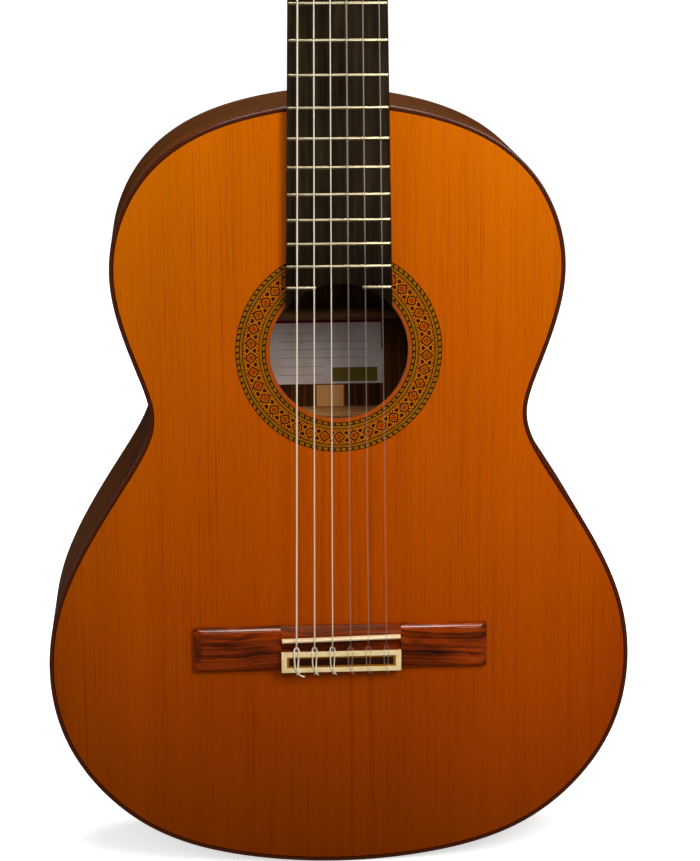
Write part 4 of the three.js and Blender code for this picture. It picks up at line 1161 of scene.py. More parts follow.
LABEL_X0, LABEL_X1, LABEL_Z0, LABEL_Z1 = -39.0, 34.0, 288.5, 330.6
LABEL_RULES = ((-34, -10, 321.8), (-34, 24, 316.4), (-34, 24, 311.0), (-34, 24, 305.6),
               (-34, -4, 299.8), (-34, -4, 294.2))    # x from, x to, z
sheet("label", LABEL_X0, LABEL_X1, LABEL_Z0, LABEL_Z1, PAPER, 0.12, lift=0.25)
sheet("label_border_top", LABEL_X0, LABEL_X1, LABEL_Z1 - 2.0, LABEL_Z1, LABEL_RED, 0.05, nz=2)
sheet("label_border_right", LABEL_X1 - 0.9, LABEL_X1, LABEL_Z0 + 22, LABEL_Z1 - 2.0, LABEL_RED,
      0.05, nx=2)
for k, (x0, x1, z) in enumerate(LABEL_RULES):
    sheet(f"label_rule_{k + 1}", x0, x1, z, z + 0.35, LABEL_GREY, 0.04, nx=8, nz=1)
sheet("label_seal", 1.6, 30.6, 290.0, 299.2, LABEL_OLIVE, 0.08, nx=10, nz=4)


# ------------------------------------------------------------------ neck
def board_half(z):
    return lerp(52.0, 61.0, (NUT_Z - z) / (SCALE / 2)) / 2


def neck_section(z):
    """The ring at z: a rounded shaft that deepens to a heel below and squares off at the nut."""
    count = 26
    heel = 1 - math.sqrt(max(0.0, 1 - (1 - clamp((z - BODY) / 78)) ** 2.4))
    shaft = lerp(17.2, 14.6, clamp((z - BODY) / 300))
    square = smooth((z - (NUT_Z - 22)) / (22 + NUT_LENGTH))
    depth = lerp(shaft + (DEPTH_HEEL - 3 - shaft) * heel, 19.6, square)
    width = board_half(min(z, NUT_Z)) + square * 0.5
    blend = min(1.0, heel * 1.6)
    nose, flank = 12.5, 0.86               # heel's back half width; share of points on its side
    side = []
    for k in range(count + 1):
        s = k / count
        t = s * math.pi / 2
        round_x = width * math.cos(t) ** lerp(0.86, 0.13, square) if k < count else 0.0
        round_y = depth * math.sin(t) ** lerp(0.92, 0.13, square)
        heel_y = depth * min(1.0, s / flank)
        if k == count:
            heel_x = 0.0
        elif s > flank:
            heel_x = nose * (1 - (s - flank) / (1 - flank))
        else:
            heel_x = lerp(width, nose, min(1.0, heel_y / depth) ** 0.75)
        side.append((lerp(round_x, heel_x, blend), lerp(round_y, heel_y, blend)))
    return [(x, FRONT + y, z) for x, y in side] + [(-x, FRONT + y, z) for x, y in side[-2::-1]]


stations = np.r_[BODY + 0.06, np.linspace(479, 520, 30), np.linspace(522, 560, 20),
                 np.linspace(566, 776, 36), np.linspace(779, 806.5, 22), 807.0]
add_skin("neck", [neck_section(z) for z in stations], NECK_WOOD, "mahogany", replaces="neck",
         angle=38)
# the part inside the body, as (depth, z)
FOOT = [(TOP_T + 0.1, 475.2), (TOP_T + 0.1, 440), (70, 438), (80, 434), (86, 424), (89, 412),
        (90.3, 404.4), (92.6, 404.4), (92.2, 475.2)]
foot = prism([(FRONT + y, z) for y, z in FOOT], -29.5, 29.5, "yz")
add_solid(bevelled(foot, 0.8), "neck_foot", BLOCK_WOOD, "mahogany")
shoulder = [(FRONT + 0.05, 474.9), (FRONT + 5.8, 474.9), (FRONT + 5.8, BODY + 0.3),
            (FRONT + 0.05, BODY + 0.3)]
add_solid(bevelled(prism(shoulder, -30.3, 30.3, "yz"), 0.1, 1), "neck_shoulder", NECK_WOOD,
          "mahogany")
CAP_HALF, CAP_Z = 12.6, 478.1
cap = [(-CAP_HALF, CAP_Z), (CAP_HALF, CAP_Z)]
cap += [(CAP_HALF * math.cos(t) ** 0.8, CAP_Z + 7.3 * math.sin(t) ** 0.9)
        for t in np.linspace(0.12, math.pi / 2, 14)]
cap += [(-x, z) for x, z in cap[2:-1][::-1]]
add_solid(plate(cap, [], FRONT + DEPTH_HEEL - 2.95, FRONT + DEPTH_HEEL + 0.15, 0.5, segments=3),
          "heel_cap", CAP_WOOD, "rosewood", replaces="heel_cap")

# ------------------------------------------------------------------ fingerboard and frets
# the lower end follows the soundhole
end_angle = math.asin(board_half(356.5) / HOLE_R)
board = [(HOLE_R * math.sin(a), HOLE_Z + HOLE_R * math.cos(a))
         for a in np.linspace(-end_angle, end_angle, 40)]
board += [(board_half(z), z) for z in np.linspace(380, NUT_Z - 0.02, 12)]
board += [(-board_half(z), z) for z in np.linspace(NUT_Z - 0.02, 380, 12)]
add_solid(plate(board, [], FRONT - BOARD_T, FRONT - 0.01, 0.22), "fingerboard", EBONY, "ebony",
          replaces="fingerboard", angle=40)

# section of a fret as (z, y): a crown with a foot let into the board
FRET = [(-1.1 * math.cos(t), -0.98 * math.sin(t) ** 0.85 if 0 < t < math.pi else 0.0)
        for t in np.linspace(0, math.pi, 15)] + [(0.9, 0.12), (-0.9, 0.12)]


def fret_place(n):
    z = NUT_Z - SCALE * (1 - 2 ** (-n / 12))
    return z, board_half(z) - 0.1


def fret(name, x0, x1, z):
    rings = []
    for x, k in ((x0, 0.25), (x0 + 0.35, 0.72), (x0 + 0.9, 1.0), ((x0 + x1) / 2, 1.0),
                 (x1 - 0.9, 1.0), (x1 - 0.35, 0.72), (x1, 0.25)):
        rings.append([(x, FRONT - BOARD_T + (y * k if y < 0 else y), z + dz) for dz, y in FRET])
    add_skin(name, rings, FRET_METAL, "nickel_silver", replaces=name, angle=50)


for n in range(1, 19):
    z, w = fret_place(n)
    fret(f"fret_{n:02d}", -w, w, z)
# the last fret is split by the soundhole
z, w = fret_place(19)
for s, side in SIDES:
    fret("fret_19_" + side, *sorted((s * 13.7, s * w)), z)

# ------------------------------------------------------------------ nut
# (z above the nut's lower face, y of its crest)
NUT_CREST = [(0.02, -8.35), (0.35, -8.75), (0.9, -8.9), (1.8, -8.86), (3.2, -8.1),
             (NUT_LENGTH - 0.4, -7.3), (NUT_LENGTH, -6.9)]
grooves = [(string_x(i, SPREAD_NUT), STRING_D[i] / 2 + 0.06) for i in range(6)]
columns = set(np.linspace(-25.6, 25.6, 60).tolist() + [-25.95, -25.8, 25.8, 25.95])
for centre, r in grooves:
    columns |= {centre + r * t for t in np.linspace(-1, 1, 9)}
    columns |= {centre - r - 0.02, centre + r + 0.02}
columns = sorted(columns)
rings = []
for dz, crest in NUT_CREST:
    z = NUT_Z + dz
    ring = []
    for x in columns:
        y = crest + (0.35 if abs(x) > 25.9 else 0.08 if abs(x) > 25.7 else 0)
        for centre, r in grooves:
            d = x - centre
            if abs(d) <= r + 1e-6:
                y = max(y, NUT_STRING_Y + 0.03 + math.sqrt(max(0.0, r * r - d * d)))
        ring.append((x, FRONT + y, z))
    rings.append(ring + [(columns[-1], FRONT - 0.05, z), (columns[0], FRONT - 0.05, z)])
add_skin("nut", rings, BONE, "bone", fan=False, replaces="nut", angle=40)

# ------------------------------------------------------------------ bridge
TIE_HOLE_Y = -5.4
# the middle's section as (y, z)
MIDDLE = [
    (0, BRIDGE_LOW), (0, BRIDGE_HIGH), (-2.6, BRIDGE_HIGH), (-3.1, BRIDGE_HIGH - 0.5),
    (-6.7, SADDLE_Z + 3.1), (-7.2, SADDLE_Z + 2.5), (-7.2, SADDLE_Z - 2.9),
    (-4.0, SADDLE_Z - 2.9), (-4.0, TIE_HIGH), (-TIE_H, TIE_HIGH), (-TIE_H, BRIDGE_LOW),
]
core = prism([(FRONT + y, z) for y, z in MIDDLE], -BRIDGE_MID, BRIDGE_MID, "yz")
end = BRIDGE_MID - 0.45
saddle_slot = [(-end, saddle_z(-end) - 1.3), (end, saddle_z(end) - 1.3),
               (end, saddle_z(end) + 1.3), (-end, saddle_z(-end) + 1.3)]
tools = [prism(saddle_slot, FRONT - 12, FRONT - 3.4)]
for i in range(6):
    rings = lathe([(1.1, BRIDGE_LOW - 2), (1.1, TIE_HIGH + 2)], 20, "z")
    tools.append(skin_solid([r + [string_x(i, SPREAD_SADDLE), FRONT + TIE_HOLE_Y, 0]
                             for r in rings]))
add_solid(bevelled(carved(core, tools), 0.18, 2, 40), "bridge", BRIDGE_WOOD, "rosewood",
          replaces="bridge", angle=40)
# wing levels: how far the end and the two long sides step in, and the height
WING_LEVELS = [(0, 0.0, 0.0), (0, 0.0, 2.9), (0.12, 0.06, 3.3), (0.55, 0.28, 3.75),
               (2.6, 1.1, 5.0), (4.6, 1.9, 5.85), (5.2, 2.15, 6.08), (6.0, 2.5, 6.2)]
for s, side in SIDES:
    x0 = BRIDGE_MID + 0.01
    rings = []
    for step_x, step_z, height in WING_LEVELS:
        x1, z0, z1 = BRIDGE_HALF - step_x, BRIDGE_LOW + step_z, BRIDGE_HIGH - step_z
        loop = [(x0, z0), (x1 - 0.6, z0), (x1 - 0.18, z0 + 0.18), (x1, z0 + 0.6),
                (x1, z1 - 0.6), (x1 - 0.18, z1 - 0.18), (x1 - 0.6, z1), (x0, z1)]
        rings.append([(s * x, FRONT - height, z) for x, z in loop])
    add_skin("bridge_wing_" + side, rings, WING_WOOD, "rosewood", fan=False, angle=22)

# saddle section as (y, z from its centre line), drawn in slightly at both ends
SADDLE = [(-3.45, -1.1), (-9.6, -1.1), (-10.4, -0.95), (-11.0, -0.55), (-11.38, 0.0),
          (-11.4, 0.35), (-11.15, 0.75), (-10.6, 1.0), (-9.8, 1.1), (-3.45, 1.1)]
SADDLE_ENDS = ((0.05, 0.93), (0.2, 0.98), (0.5, 1.0), (30, 1.0))    # distance in, scale
rings = []
for s, ends in ((-1, SADDLE_ENDS), (1, SADDLE_ENDS[::-1])):
    for inward, k in ends:
        x = s * (BRIDGE_MID - 0.5 - inward)
        rings.append([(x, FRONT + (y * k if y < -5 else y), saddle_z(x) + z * k)
                      for y, z in SADDLE])
add_skin("saddle", rings, SADDLE_BONE, "bone", fan=False, replaces="saddle", angle=35)


def tie_rect(side, low, high):
    """A rectangle on the tie block, set in from its ends, lower edge and upper edge."""
    x, z0, z1 = BRIDGE_MID - side, BRIDGE_LOW + low, TIE_HIGH - high
    return [(-x, z0), (x, z0), (x, z1), (-x, z1)]


for name, outer, holes, thick, bevel, mat, slot, replaced in (
        ("trim", (0.15, 0, 0), [(3.5, 2.9, 3.3)], TRIM_T, 0.22, BONE, "bone", "tie_block_trim"),
        ("inner_line", (3.55, 2.95, 3.35), [(4.9, 4.0, 4.4)], 0.45, 0.06, OLIVE, "mosaic", None),
        ("panel", (4.95, 4.05, 4.45), [], 0.30, 0.06, PANEL, "ebony", None)):
    o = plate(tie_rect(*outer), [tie_rect(*h) for h in holes], FRONT - TIE_H - thick,
              FRONT - TIE_H, bevel)
    add_solid(o, "tie_block_" + name, mat, slot, replaces=replaced, angle=50)

# ------------------------------------------------------------------ headstock
# the treble half's outline as (x, z): the crest down from its corner, and the lower flare
CREST = [(36, 173), (35.4, 176.2), (33.6, 179.4), (30.6, 182.0), (26.6, 183.6), (22, 184.3),
         (17.4, 184.9), (13, 186.3), (8.6, 188.9), (4.4, 190.7), (0, 191.2)]
FLARE = [(26.5, -12), (26.5, 0), (27.2, 5.5), (29.4, 11.0), (32.6, 16.2), (35.0, 21.0), (36, 27)]
crest_curve = [tuple(p) for p in catmull(CREST, 5)]
flare_curve = [tuple(p) for p in catmull(FLARE, 5)]


def head_outline(z0):
    right = [(26.5, z0)] + [p for p in flare_curve if p[1] >= z0]
    right += [(HEAD_HALF, 90)] + crest_curve
    return right + [(-x, z) for x, z in right[:-1]][::-1]


def slot_loop(s):
    cx, r = s * (SLOT_NEAR + SLOT_FAR) / 2, (SLOT_FAR - SLOT_NEAR) / 2
    return (arc(cx, SLOT_HIGH - r, r, 0, math.pi, 22)
            + arc(cx, SLOT_LOW + r, r, math.pi, TURN, 22))


def ramp_tool(s):
    """Cuts the sloping string ramp below a slot; points are (y, z)."""
    x0, x1 = sorted((s * SLOT_NEAR, s * SLOT_FAR))
    points = [(-3, 15.5), (-0.6, 17.5), (1.4, 22), (5.2, 34), (8, 41), (8, 46), (-3, 46)]
    return prism(points, x0 + 0.02, x1 - 0.02, "yz")


slots = [slot_loop(1), slot_loop(-1)]
wood = plate(head_outline(-11.5), slots, HEAD_Y, HEAD_Y + HEAD_T, 0.9, segments=3)
tools = [ramp_tool(1), ramp_tool(-1)]
for z in ROLLER_Z:
    for s in (-1, 1):
        for r, x0, x1 in ((5.35, 22, 38), (3.65, 1.7, 12)):
            rings = lathe([(r, x) for x in sorted((s * x0, s * x1))], 28)
            tools.append(skin_solid([ring + [0, ROLLER_Y, z] for ring in rings]))
# a box below the level of the nut's upper face trims the foot of the headstock
cos_tilt, sin_tilt = math.cos(TILT), math.sin(TILT)
box = [(x, y * cos_tilt - z * sin_tilt, y * sin_tilt + z * cos_tilt)
       for z in (-40, 0.06) for x, y in ((-50, -50), (50, -50), (50, 50), (-50, 50))]
tools.append(solid(box, [(3, 2, 1, 0), (4, 5, 6, 7), (0, 1, 5, 4), (1, 2, 6, 5), (2, 3, 7, 6),
                         (3, 0, 4, 7)]))
add_solid(on_head(carved(wood, tools)), "headstock", NECK_WOOD, "mahogany",
          replaces="headstock", angle=38)
face = plate(head_outline(0.4), slots, HEAD_Y - VENEER_T, HEAD_Y - 0.02, 0.35)
add_solid(on_head(carved(face, [ramp_tool(1), ramp_tool(-1)])), "headstock_veneer", HEAD_FACE,
          "rosewood", replaces="headstock_veneer", angle=38)
# two inlaid lines follow the crest
path = np.vstack([[(HEAD_HALF, 160)], crest_curve])
path = np.vstack([path, (path * [-1, 1])[:-1][::-1]])
heading = unit_rows(np.gradient(path, axis=0))
normals = np.c_[-heading[:, 1], heading[:, 0]]
y = HEAD_Y - VENEER_T - 0.015
for k, (offset, width, mat) in enumerate(((2.6, 0.55, PALE), (3.25, 0.5, BLACK))):
    rings = []
    for p, n in zip(path, normals):
        a, b = p + n * offset, p + n * (offset + width)
        rings.append([(a[0], y, a[1]), (b[0], y, b[1]), (b[0], y + 0.8, b[1]),
                      (a[0], y + 0.8, a[1])])
    head_skin(f"headstock_crest_line_{k + 1}", rings, np.zeros(3), mat, "mosaic", fan=False)


# ------------------------------------------------------------------ tuning machines
def slotted_screw(r, h):
    """A domed head about X, from its seat at 0 out to h, with a slot across it."""
    dome = ((1, 0.0), (1, 0.35), (0.94, 0.62), (0.74, 0.86), (0.4, 0.98))
    o = skin_solid(lathe([(r * a, h * b) for a, b in dome] + [(0.02, h)], 28), fan=True)
    w = r * 0.11
    loop = [(-w, h * 0.45), (w, h * 0.45), (w, h * 2), (-w, h * 2)]
    cutter = prism(loop[::-1], -r * 1.3, r * 1.3, "yz")
    # drawn along z and x, so it is turned to face X
    cutter.data.transform(Matrix(((0, 0, 1, 0), (0, 1, 0, 0), (-1, 0, 0, 0), (0, 0, 0, 1))))
    o = carved(o, [cutter])
    data = o.data
    drop(o)
    return data


SCREW_BIG, SCREW_SMALL = slotted_screw(2.35, 1.3), slotted_screw(1.75, 0.95)


def place_screw(name, data, s, x, z, spin, mat, slot, **kw):
    o = link(name, data.copy())
    matrix = HEAD @ Matrix.Translation((s * x * MM, ROLLER_Y * MM, z * MM))
    if s < 0:
        matrix = matrix @ Matrix.Rotation(math.pi, 4, "Z")
    o.data.transform(matrix @ Matrix.Rotation(spin, 4, "X"))
    tidy(o.data, sharp=35)
    finish(o, mat, slot, **kw)


# profiles are (radius, position along the axis)
BARREL = [
    (0.02, 2.0), (2.9, 2.0), (3.25, 2.35), (3.25, SLOT_NEAR + 0.5), (4.2, SLOT_NEAR + 0.7),
    (4.55, SLOT_NEAR + 1.1), (4.5, SLOT_NEAR + 1.7), (4.0, SLOT_NEAR + 2.4),
    (BARREL_R, SLOT_NEAR + 3.2), (BARREL_R, SLOT_FAR - 3.2), (4.0, SLOT_FAR - 2.4),
    (4.6, SLOT_FAR - 1.6), (4.9, SLOT_FAR - 0.9), (4.9, 35.2), (4.6, 35.6), (0.02, 35.6),
]
POST = [(0.02, 35.65), (3.0, 35.65), (3.0, 39.1), (0.02, 39.1)]
WORM_SHAFT = [
    (0.02, -8.2), (1.1, -8.2), (1.42, -7.9), (1.42, -4.0), (1.95, -3.8), (1.95, 3.8),
    (1.42, 4.0), (1.42, 9.0), (2.2, 9.3), (2.6, 9.8), (2.6, 10.6), (2.0, 11.0), (2.3, 11.4),
    (3.1, 12.2), (3.3, 13.2), (0.02, 13.2),
]
# one tooth as (radius, part of a tooth's pitch)
TOOTH = [(4.7, -0.22), (4.68, 0.0), (4.7, 0.22), (5.1, 0.315), (5.5, 0.375), (5.73, 0.41),
         (5.76, 0.5), (5.73, 0.59), (5.5, 0.625), (5.1, 0.685)]
# the gear's rings as (x from its middle, scale); below 0.9 the ring is a plain circle
GEAR_RINGS = [
    (-1.5, 0.05), (-1.5, 0.6), (-1.5, 0.955), (-1.36, 0.985), (-1.2, 1.0), (-0.6, 1.0),
    (0.0, 1.0), (0.6, 1.0), (1.2, 1.0), (1.36, 0.985), (1.5, 0.955), (1.5, 0.78), (1.25, 0.72),
    (1.2, 0.56), (1.65, 0.50), (1.7, 0.46), (1.7, 0.05),
]
GEAR_TWIST = -2.3 * math.pi / 180          # slant of the teeth over half the thickness


def gear_rings(s):
    """The bass gear is the treble one turned half way about Z, so the teeth keep their slant."""
    rings = []
    for x, k in GEAR_RINGS:
        twist = GEAR_TWIST * x / 1.5
        ring = []
        for i in range(TEETH):
            for r, f in TOOTH:
                a = (i + f) * TURN / TEETH
                r = k * (5.2 if k < 0.9 else r)
                y, z = -r * math.cos(a), r * math.sin(a)
                # the loop is drawn with its first coordinate as y
                y, z = z, y
                ring.append((s * (WORM_X + x), s * (y * math.cos(twist) - z * math.sin(twist)),
                             y * math.sin(twist) + z * math.cos(twist)))
        rings.append(ring)
    return rings


def worm_thread():
    rings = []
    steps, turns = 84, 6.0 / LEAD
    for q in range(steps + 1):
        a = TURN * turns * (q / steps - 0.5)
        y = LEAD * (a / TURN - 0.25)
        rise = min(1.0, min(q, steps - q) / 9)
        flank, crest = lerp(1.95, 2.7, rise), lerp(1.98, 3.03, rise)
        section = ((1.7, -0.6), (flank, -0.40), (crest, -0.22), (crest, 0.22), (flank, 0.40),
                   (1.7, 0.6))
        rings.append([(r * math.cos(a), y + d, r * math.sin(a)) for r, d in section])
    return rings


def button():
    """An oval paddle with softened faces, along Y."""
    a = np.linspace(0, 2 * np.pi, 40, endpoint=False)
    c, s = np.cos(a), np.sin(a)
    rings = []
    for t in np.linspace(0, 1, 26):
        grow = max(0.0, math.sin(math.pi * min(1.0, 0.12 + 0.88 * t) ** 0.92))
        half_x, half_z = 3.2 + 5.7 * grow**0.7, 2.7 + 1.25 * grow**0.6
        k = 1.0
        if t >= 0.9:
            k = math.sqrt(max(0.0, 1 - ((t - 0.9) / 0.1) ** 2))
        elif t <= 0.05:
            k = 0.75 + 0.25 * t / 0.05
        k = max(k, 0.02)
        rings.append(np.c_[half_x * k * np.sign(c) * np.abs(c) ** 0.85,
                           np.full(40, 13.0 + 15.3 * t),
                           -half_z * k * np.sign(s) * np.abs(s) ** 0.72])
    return rings


def string_look(i):
    return (WOUND, "wound") if i < 3 else (NYLON, "nylon")


# for each string: x where it meets the barrel, the barrel's index from below, turns on it
WINDINGS = [(20.6, 0, 1.6), (17.2, 1, 1.6), (15.4, 2, 1.6), (15.4, 2, 2.4), (17.2, 1, 2.4),
            (20.6, 0, 2.4)]


def winding(i, s, roller_z):
    """Adds the turns that move with the roller; returns the still first turn of the string."""
    start_x, _, turns = WINDINGS[i]
    r = STRING_D[i] / 2
    wrap = BARREL_R + r + 0.02
    # the string's last touch on the nut, from the roller, in the headstock's y and z
    dy, dz = NUT_STRING_Y * cos_tilt - ROLLER_Y, NUT_STRING_Y * sin_tilt - roller_z
    first = math.atan2(dz, -dy) + math.acos(wrap / math.hypot(dy, dz))

    def on_barrel(x, angle, lift=0.0):
        out = wrap + lift
        return head_point(x, ROLLER_Y - out * math.cos(angle), roller_z + out * math.sin(angle))

    near = start_x - 2.2 * r
    x0, x1 = s * near, s * (near - 2.06 * r * turns)
    count = int(40 * turns)
    points = []
    for q in range(count + 1):
        t = q / (40 * turns)
        points.append(on_barrel(lerp(x0, x1, t), first + TURN * turns * t))
    angle = first + TURN * turns
    # the loose end tucks in towards the axis
    for lift, dx in ((0.24, 0.8), (0.0, 1.8), (-0.4, 2.6), (-0.96, 3.0)):
        angle += 0.12
        points.append(on_barrel(x1 - s * dx, angle, lift))
    rings, along = tube(catmull(points[::2] + [points[-1]], 3), r, 10)
    add_skin(f"string_winding_{6 - i}", rings, *string_look(i), along=along,
             body=f"roller_{6 - i}", angle=60)
    return [on_barrel(s * (start_x - 2.06 * r * t / TURN), first + t)
            for t in np.linspace(-0.02, 5.6, 48)]


first_turns = []
for i in range(6):
    num = str(6 - i)
    s = -1 if i < 3 else 1
    z = ROLLER_Z[WINDINGS[i][1]]
    body = "roller_" + num
    centre = np.array([0, ROLLER_Y, z])
    head_skin("tuner_barrel_" + num, [r * [s, 1, 1] for r in lathe(BARREL, 48)], centre,
              ROLLER_PLASTIC, "bone", body=body, replaces="tuner_roller_" + num, angle=28)
    head_skin("tuner_post_" + num, [r * [s, 1, 1] for r in lathe(POST, 32)], centre, STEEL,
              "machine_steel", body=body)
    head_skin("tuner_gear_" + num, gear_rings(s), centre, BRASS, "machine_brass", body=body,
              angle=30)
    place_screw("tuner_gear_screw_" + num, SCREW_BIG, s, 42.3, z, 0.5 + i * 0.7, STEEL,
                "machine_steel", body=body)
    body = "button_" + num
    centre = np.array([s * WORM_X, ROLLER_Y, z - WORM_DROP])
    head_skin("tuner_worm_shaft_" + num, lathe(WORM_SHAFT, 32, "y"), centre, STEEL,
              "machine_steel", body=body, replaces="tuner_worm_" + num, angle=30)
    head_skin("tuner_worm_thread_" + num, worm_thread(), centre, STEEL, "machine_steel",
              body=body, fan=False, angle=40)
    head_skin("tuner_button_" + num, button(), centre, PEARL, "bone", body=body, angle=60)
    first_turns.append(winding(i, s, z))

# ------------------------------------------------------------------ tuner plates and brackets
PLATE_LOW, PLATE_HIGH, PLATE_IN, PLATE_OUT = 38.6, 147.4, 36.06, 37.6
BRACKET_NEAR, BRACKET_FAR = 4.35, 6.85     # y from the worm's middle


def scallop(z):
    """Half width of the plate, wider beside each roller."""
    near = min(abs(z - (roller - 5)) for roller in ROLLER_Z)
    return 4.4 + 1.5 * math.exp(-((near / 9.0) ** 4))


def plate_end(z, start):
    return [(4.4 * math.cos(t), z + 1.2 * math.sin(t))
            for t in np.linspace(start + 0.2, start + math.pi - 0.2, 9)]


plate_zs = np.linspace(PLATE_LOW, PLATE_HIGH, 110)
outline = [(scallop(z), z) for z in plate_zs] + plate_end(PLATE_HIGH, 0)
outline += [(-scallop(z), z) for z in plate_zs[::-1]] + plate_end(PLATE_LOW, math.pi)
outline = [(y + ROLLER_Y, z) for y, z in outline]
holes = [arc(ROLLER_Y, z, 3.15, 0, TURN, 32, endpoint=False) for z in ROLLER_Z]
for s, side in SIDES:
    lo, hi = sorted((s * PLATE_IN, s * PLATE_OUT))
    add_solid(on_head(plate(outline, holes, lo, hi, 0.25, plane="yz")), "tuner_plate_" + side,
              BRASS, "machine_brass", replaces="tuner_plate_" + side, angle=35)
    for k, z in enumerate((42.0, 71.5, 106.5, 144.0)):
        place_screw(f"tuner_plate_screw_{side}_{k + 1}", SCREW_SMALL, s, PLATE_OUT, z,
                    0.9 * k + 0.3, BRASS, "machine_brass")
    for k, roller_z in enumerate(ROLLER_Z):
        z = roller_z - WORM_DROP
        ear = [(s * 37.5, z - 2.6)]
        ear += [(s * x, ear_z) for x, ear_z in arc(WORM_X, z, 2.55, -math.pi / 2, math.pi / 2, 18)]
        ear += [(s * 37.5, z + 2.6)]
        hole = arc(s * WORM_X, z, 1.62, 0, TURN, 28, endpoint=False)
        for toward, where in ((-1, "front"), (1, "back")):
            lo, hi = sorted((ROLLER_Y + toward * BRACKET_NEAR, ROLLER_Y + toward * BRACKET_FAR))
            add_solid(on_head(plate(ear, [hole], lo, hi, 0.25)),
                      f"tuner_worm_bracket_{side}_{k + 1}_{where}", BRASS, "machine_brass",
                      angle=35)


# ------------------------------------------------------------------ strings
def knot(r):
    """The tail as (x from the string, y, z): it loops over the tie block, round the string,
    back under itself and up through the block."""
    top = -TIE_H - TRIM_T - r - 0.03
    low, high = BRIDGE_LOW, TIE_HIGH
    return [
        (2.3, top + 1.15, low - 1.9), (1.4, top + 0.65, low - 0.7), (0.25, top + 0.10, low + 0.9),
        (-0.95, top, low + 3.4), (-1.25, top, low + 6.6), (-1.35, top, low + 10.2),
        (-1.4, top - 0.02, high - 0.6), (-1.45, top + 0.55, high + 0.9),
        (-0.95, top + 2.0, high + 1.9), (0.0, top + 2.9, high + 2.1), (1.0, top + 2.0, high + 1.9),
        (1.45, top + 0.55, high + 0.9), (1.35, top - 0.02, high - 0.6), (1.2, top, low + 9.6),
        (0.95, top - 0.1, low + 5.6), (0.75, top - 0.75 * r - 0.45, low + 2.6),
        (0.6, top - 0.9 * r - 0.5, low + 0.6), (0.45, top + 0.35, low - 1.15),
        (0.25, -7.4, low - 1.9), (0.05, -5.9, low - 1.35), (0.0, TIE_HOLE_Y, low + 0.6),
        (0.0, TIE_HOLE_Y, low + 6.5), (0.0, -5.45, high - 0.4), (0.0, -6.3, high + 1.4),
        (0.0, -7.9, high + 3.4),
    ]


for i in range(6):
    r = STRING_D[i] / 2
    x0, x1 = string_x(i, SPREAD_SADDLE), string_x(i, SPREAD_NUT)
    z0 = saddle_z(x0)
    points = knot(r)
    if i == 0:
        # the lowest string has a longer free end
        top = points[3][1]
        points = [(5.0, top + 1.6, BRIDGE_LOW - 3.0), (3.8, top + 1.5, BRIDGE_LOW - 2.7)] + points
    points += [(0, SADDLE_STRING_Y + 1.2, z0 - 2.4), (0, SADDLE_STRING_Y + 0.28, z0 - 0.7),
               (0, SADDLE_STRING_Y, z0 + 0.35)]
    curve = catmull([(x0 + x, FRONT + y, z) for x, y, z in points], 6)
    speaking = [(lerp(x0, x1, t), FRONT + lerp(SADDLE_STRING_Y, NUT_STRING_Y, t),
                 lerp(z0 + 0.35, NUT_Z + 0.6, t)) for t in np.linspace(0.01, 1, 60)]
    on_nut = np.array([x1, FRONT + NUT_STRING_Y + 0.02, NUT_Z + 1.2])
    turn = first_turns[i]
    to_barrel = [on_nut] + [on_nut * (1 - t) + turn[0] * t for t in np.linspace(0.04, 1, 14)]
    rings, along = tube(np.vstack([curve, speaking, to_barrel, turn[1:]]), r, 12)
    name = f"string_{6 - i}"
    add_skin(name, rings, *string_look(i), along=along, replaces=name, angle=60)

# ------------------------------------------------------------------ floor, in metres from here on
FLOOR_GLOW, FAR_GLOW = 0.66, 0.97
data = bpy.data.meshes.new("floor")
corners = ((-40, -40), (40, -40), (40, 40), (-40, 40))
data.from_pydata([(x, y, -0.0005) for x, y in corners], [], [(0, 1, 2, 3)])
floor = link("floor", data)
m = Mat("pale_floor", rough=0.95, spec=0.0)
x, y, z = m.axes()
rays = m.tree.nodes.new("ShaderNodeLightPath")
seen = Value(m, rays.outputs["Is Camera Ray"])
glossy = Value(m, rays.outputs["Is Glossy Ray"])
mottle = m.noise(m.here, scale=6)
# the floor looks white, but throws little of its glow back on the guitar
unseen = m.mix(glossy, (0.24, 0.24, 0.24), (0.05, 0.05, 0.05))
m.set("Base Color", m.mix(seen, unseen, m.mix(mottle, (0.93, 0.93, 0.93), (0.90, 0.90, 0.90))))
m.set("Emission Color", (1.0, 1.0, 1.0))
far = m.step(m.calc("SQRT", x * x + y * y), 0.25, 1.3)
m.set("Emission Strength", seen * (FLOOR_GLOW + far * (FAR_GLOW - FLOOR_GLOW)))
data.materials.append(m.result)
floor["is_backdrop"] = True


# ------------------------------------------------------------------ lights and world
def area(name, at, to, size, power, colour, size_y=None):
    light = bpy.data.lights.new(name, "AREA")
    light.energy, light.size, light.color = power, size, colour
    if size_y:
        light.shape, light.size_y = "RECTANGLE", size_y
    o = link(name, light)
    o.location = at
    o.rotation_euler = (Vector(to) - Vector(at)).to_track_quat("-Z", "Y").to_euler()


area("key", at=(0.42, -0.80, 0.72), to=(0, -0.05, 0.34), size=0.42, power=6.0,
     colour=(1.0, 0.97, 0.92))
area("front", at=(-0.2, -2.0, 1.18), to=(0, -0.05, 0.33), size=0.6, power=8.5,
     colour=(1.0, 0.98, 0.96))
area("top", at=(0.0, -0.16, 2.1), to=(0, -0.159, 0.3), size=1.3, size_y=0.36, power=24,
     colour=(1.0, 0.99, 0.97))
area("side", at=(-1.6, -0.2, 0.9), to=(0, 0, 0.4), size=0.9, power=3, colour=(1.0, 0.98, 0.95))
area("back", at=(0.25, 1.35, 2.45), to=(0, 0.05, 0.5), size=1.1, power=26,
     colour=(1.0, 0.98, 0.95))

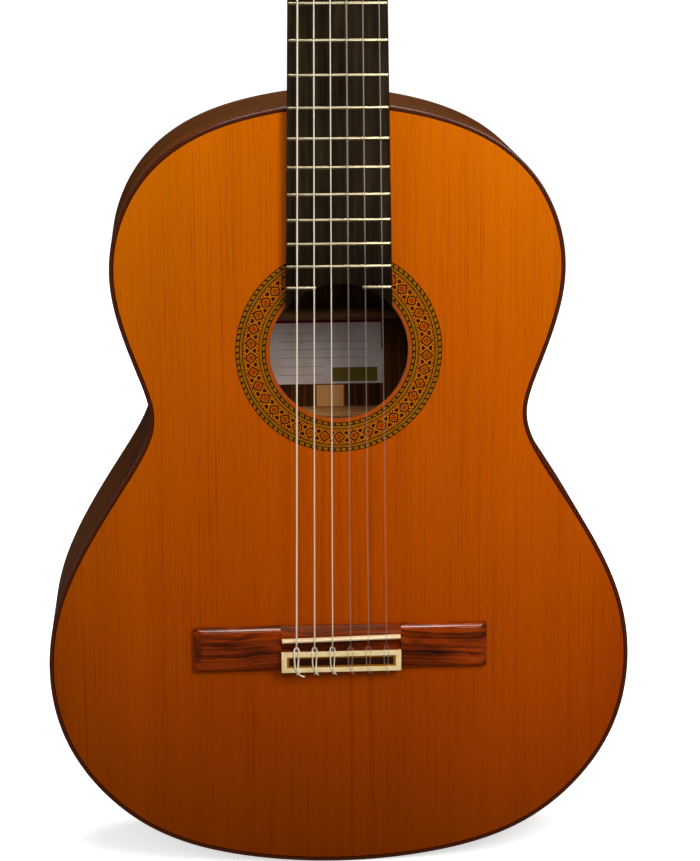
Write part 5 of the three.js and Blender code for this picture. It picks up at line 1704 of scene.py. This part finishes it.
world = bpy.data.worlds.new("studio")
bpy.context.scene.world = world
world.use_nodes = True
tree = world.node_tree
tree.nodes.clear()
out = tree.nodes.new("ShaderNodeOutputWorld")
rays = tree.nodes.new("ShaderNodeLightPath")


def background(colour, strength):
    node = tree.nodes.new("ShaderNodeBackground")
    node.inputs[0].default_value, node.inputs[1].default_value = (*colour, 1), strength
    return node.outputs[0]


def either(ray, otherwise, chosen):
    node = tree.nodes.new("ShaderNodeMixShader")
    for socket, source in zip(node.inputs, (rays.outputs[ray], otherwise, chosen)):
        tree.links.new(source, socket)
    return node.outputs[0]


# white to the camera, cool and dim in reflections, and a faint warm light otherwise
dim = either("Is Glossy Ray", background(colour=(0.9, 0.92, 0.95), strength=0.16),
             background(colour=(1.0, 0.9, 0.75), strength=0.035))
white = background(colour=(1, 1, 1), strength=1.0)
tree.links.new(either("Is Camera Ray", dim, white), out.inputs[0])

# ------------------------------------------------------------------ camera
CAM_AT = (-0.0975, -1.6824, 0.6449)
CAM_TURN = np.array([0.22, -0.0112, 0.0642])    # rotation vector, world to right, forward, up
CAM_PAN, CAM_PITCH = 3.6507009e-4, 3.2856308e-4    # small last corrections, in radians
angle = np.linalg.norm(CAM_TURN)
kx, ky, kz = CAM_TURN / angle
cross = np.array([[0, -kz, ky], [kz, 0, -kx], [-ky, kx, 0]])
axes = np.eye(3) + math.sin(angle) * cross + (1 - math.cos(angle)) * cross @ cross
right = axes[0] + CAM_PAN * axes[1]
forward = axes[1] - CAM_PAN * axes[0] + CAM_PITCH * axes[2]
up = axes[2] - CAM_PITCH * axes[1]
lens = bpy.data.cameras.new("camera")
camera = link("camera", lens)
camera.matrix_world = Matrix([*zip(right, up, -forward, CAM_AT), (0, 0, 0, 1)])
lens.sensor_width = 36.0
lens.lens = 114.53101045
lens.clip_start, lens.clip_end = 0.05, 200
bpy.context.scene.camera = camera
bpy.context.scene.view_settings.view_transform = "Standard"
bpy.context.scene.view_settings.look = "None"

lo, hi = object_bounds()
{"cad": [CAD_LO, CAD_HI], "visual": [list(lo), list(hi)]}
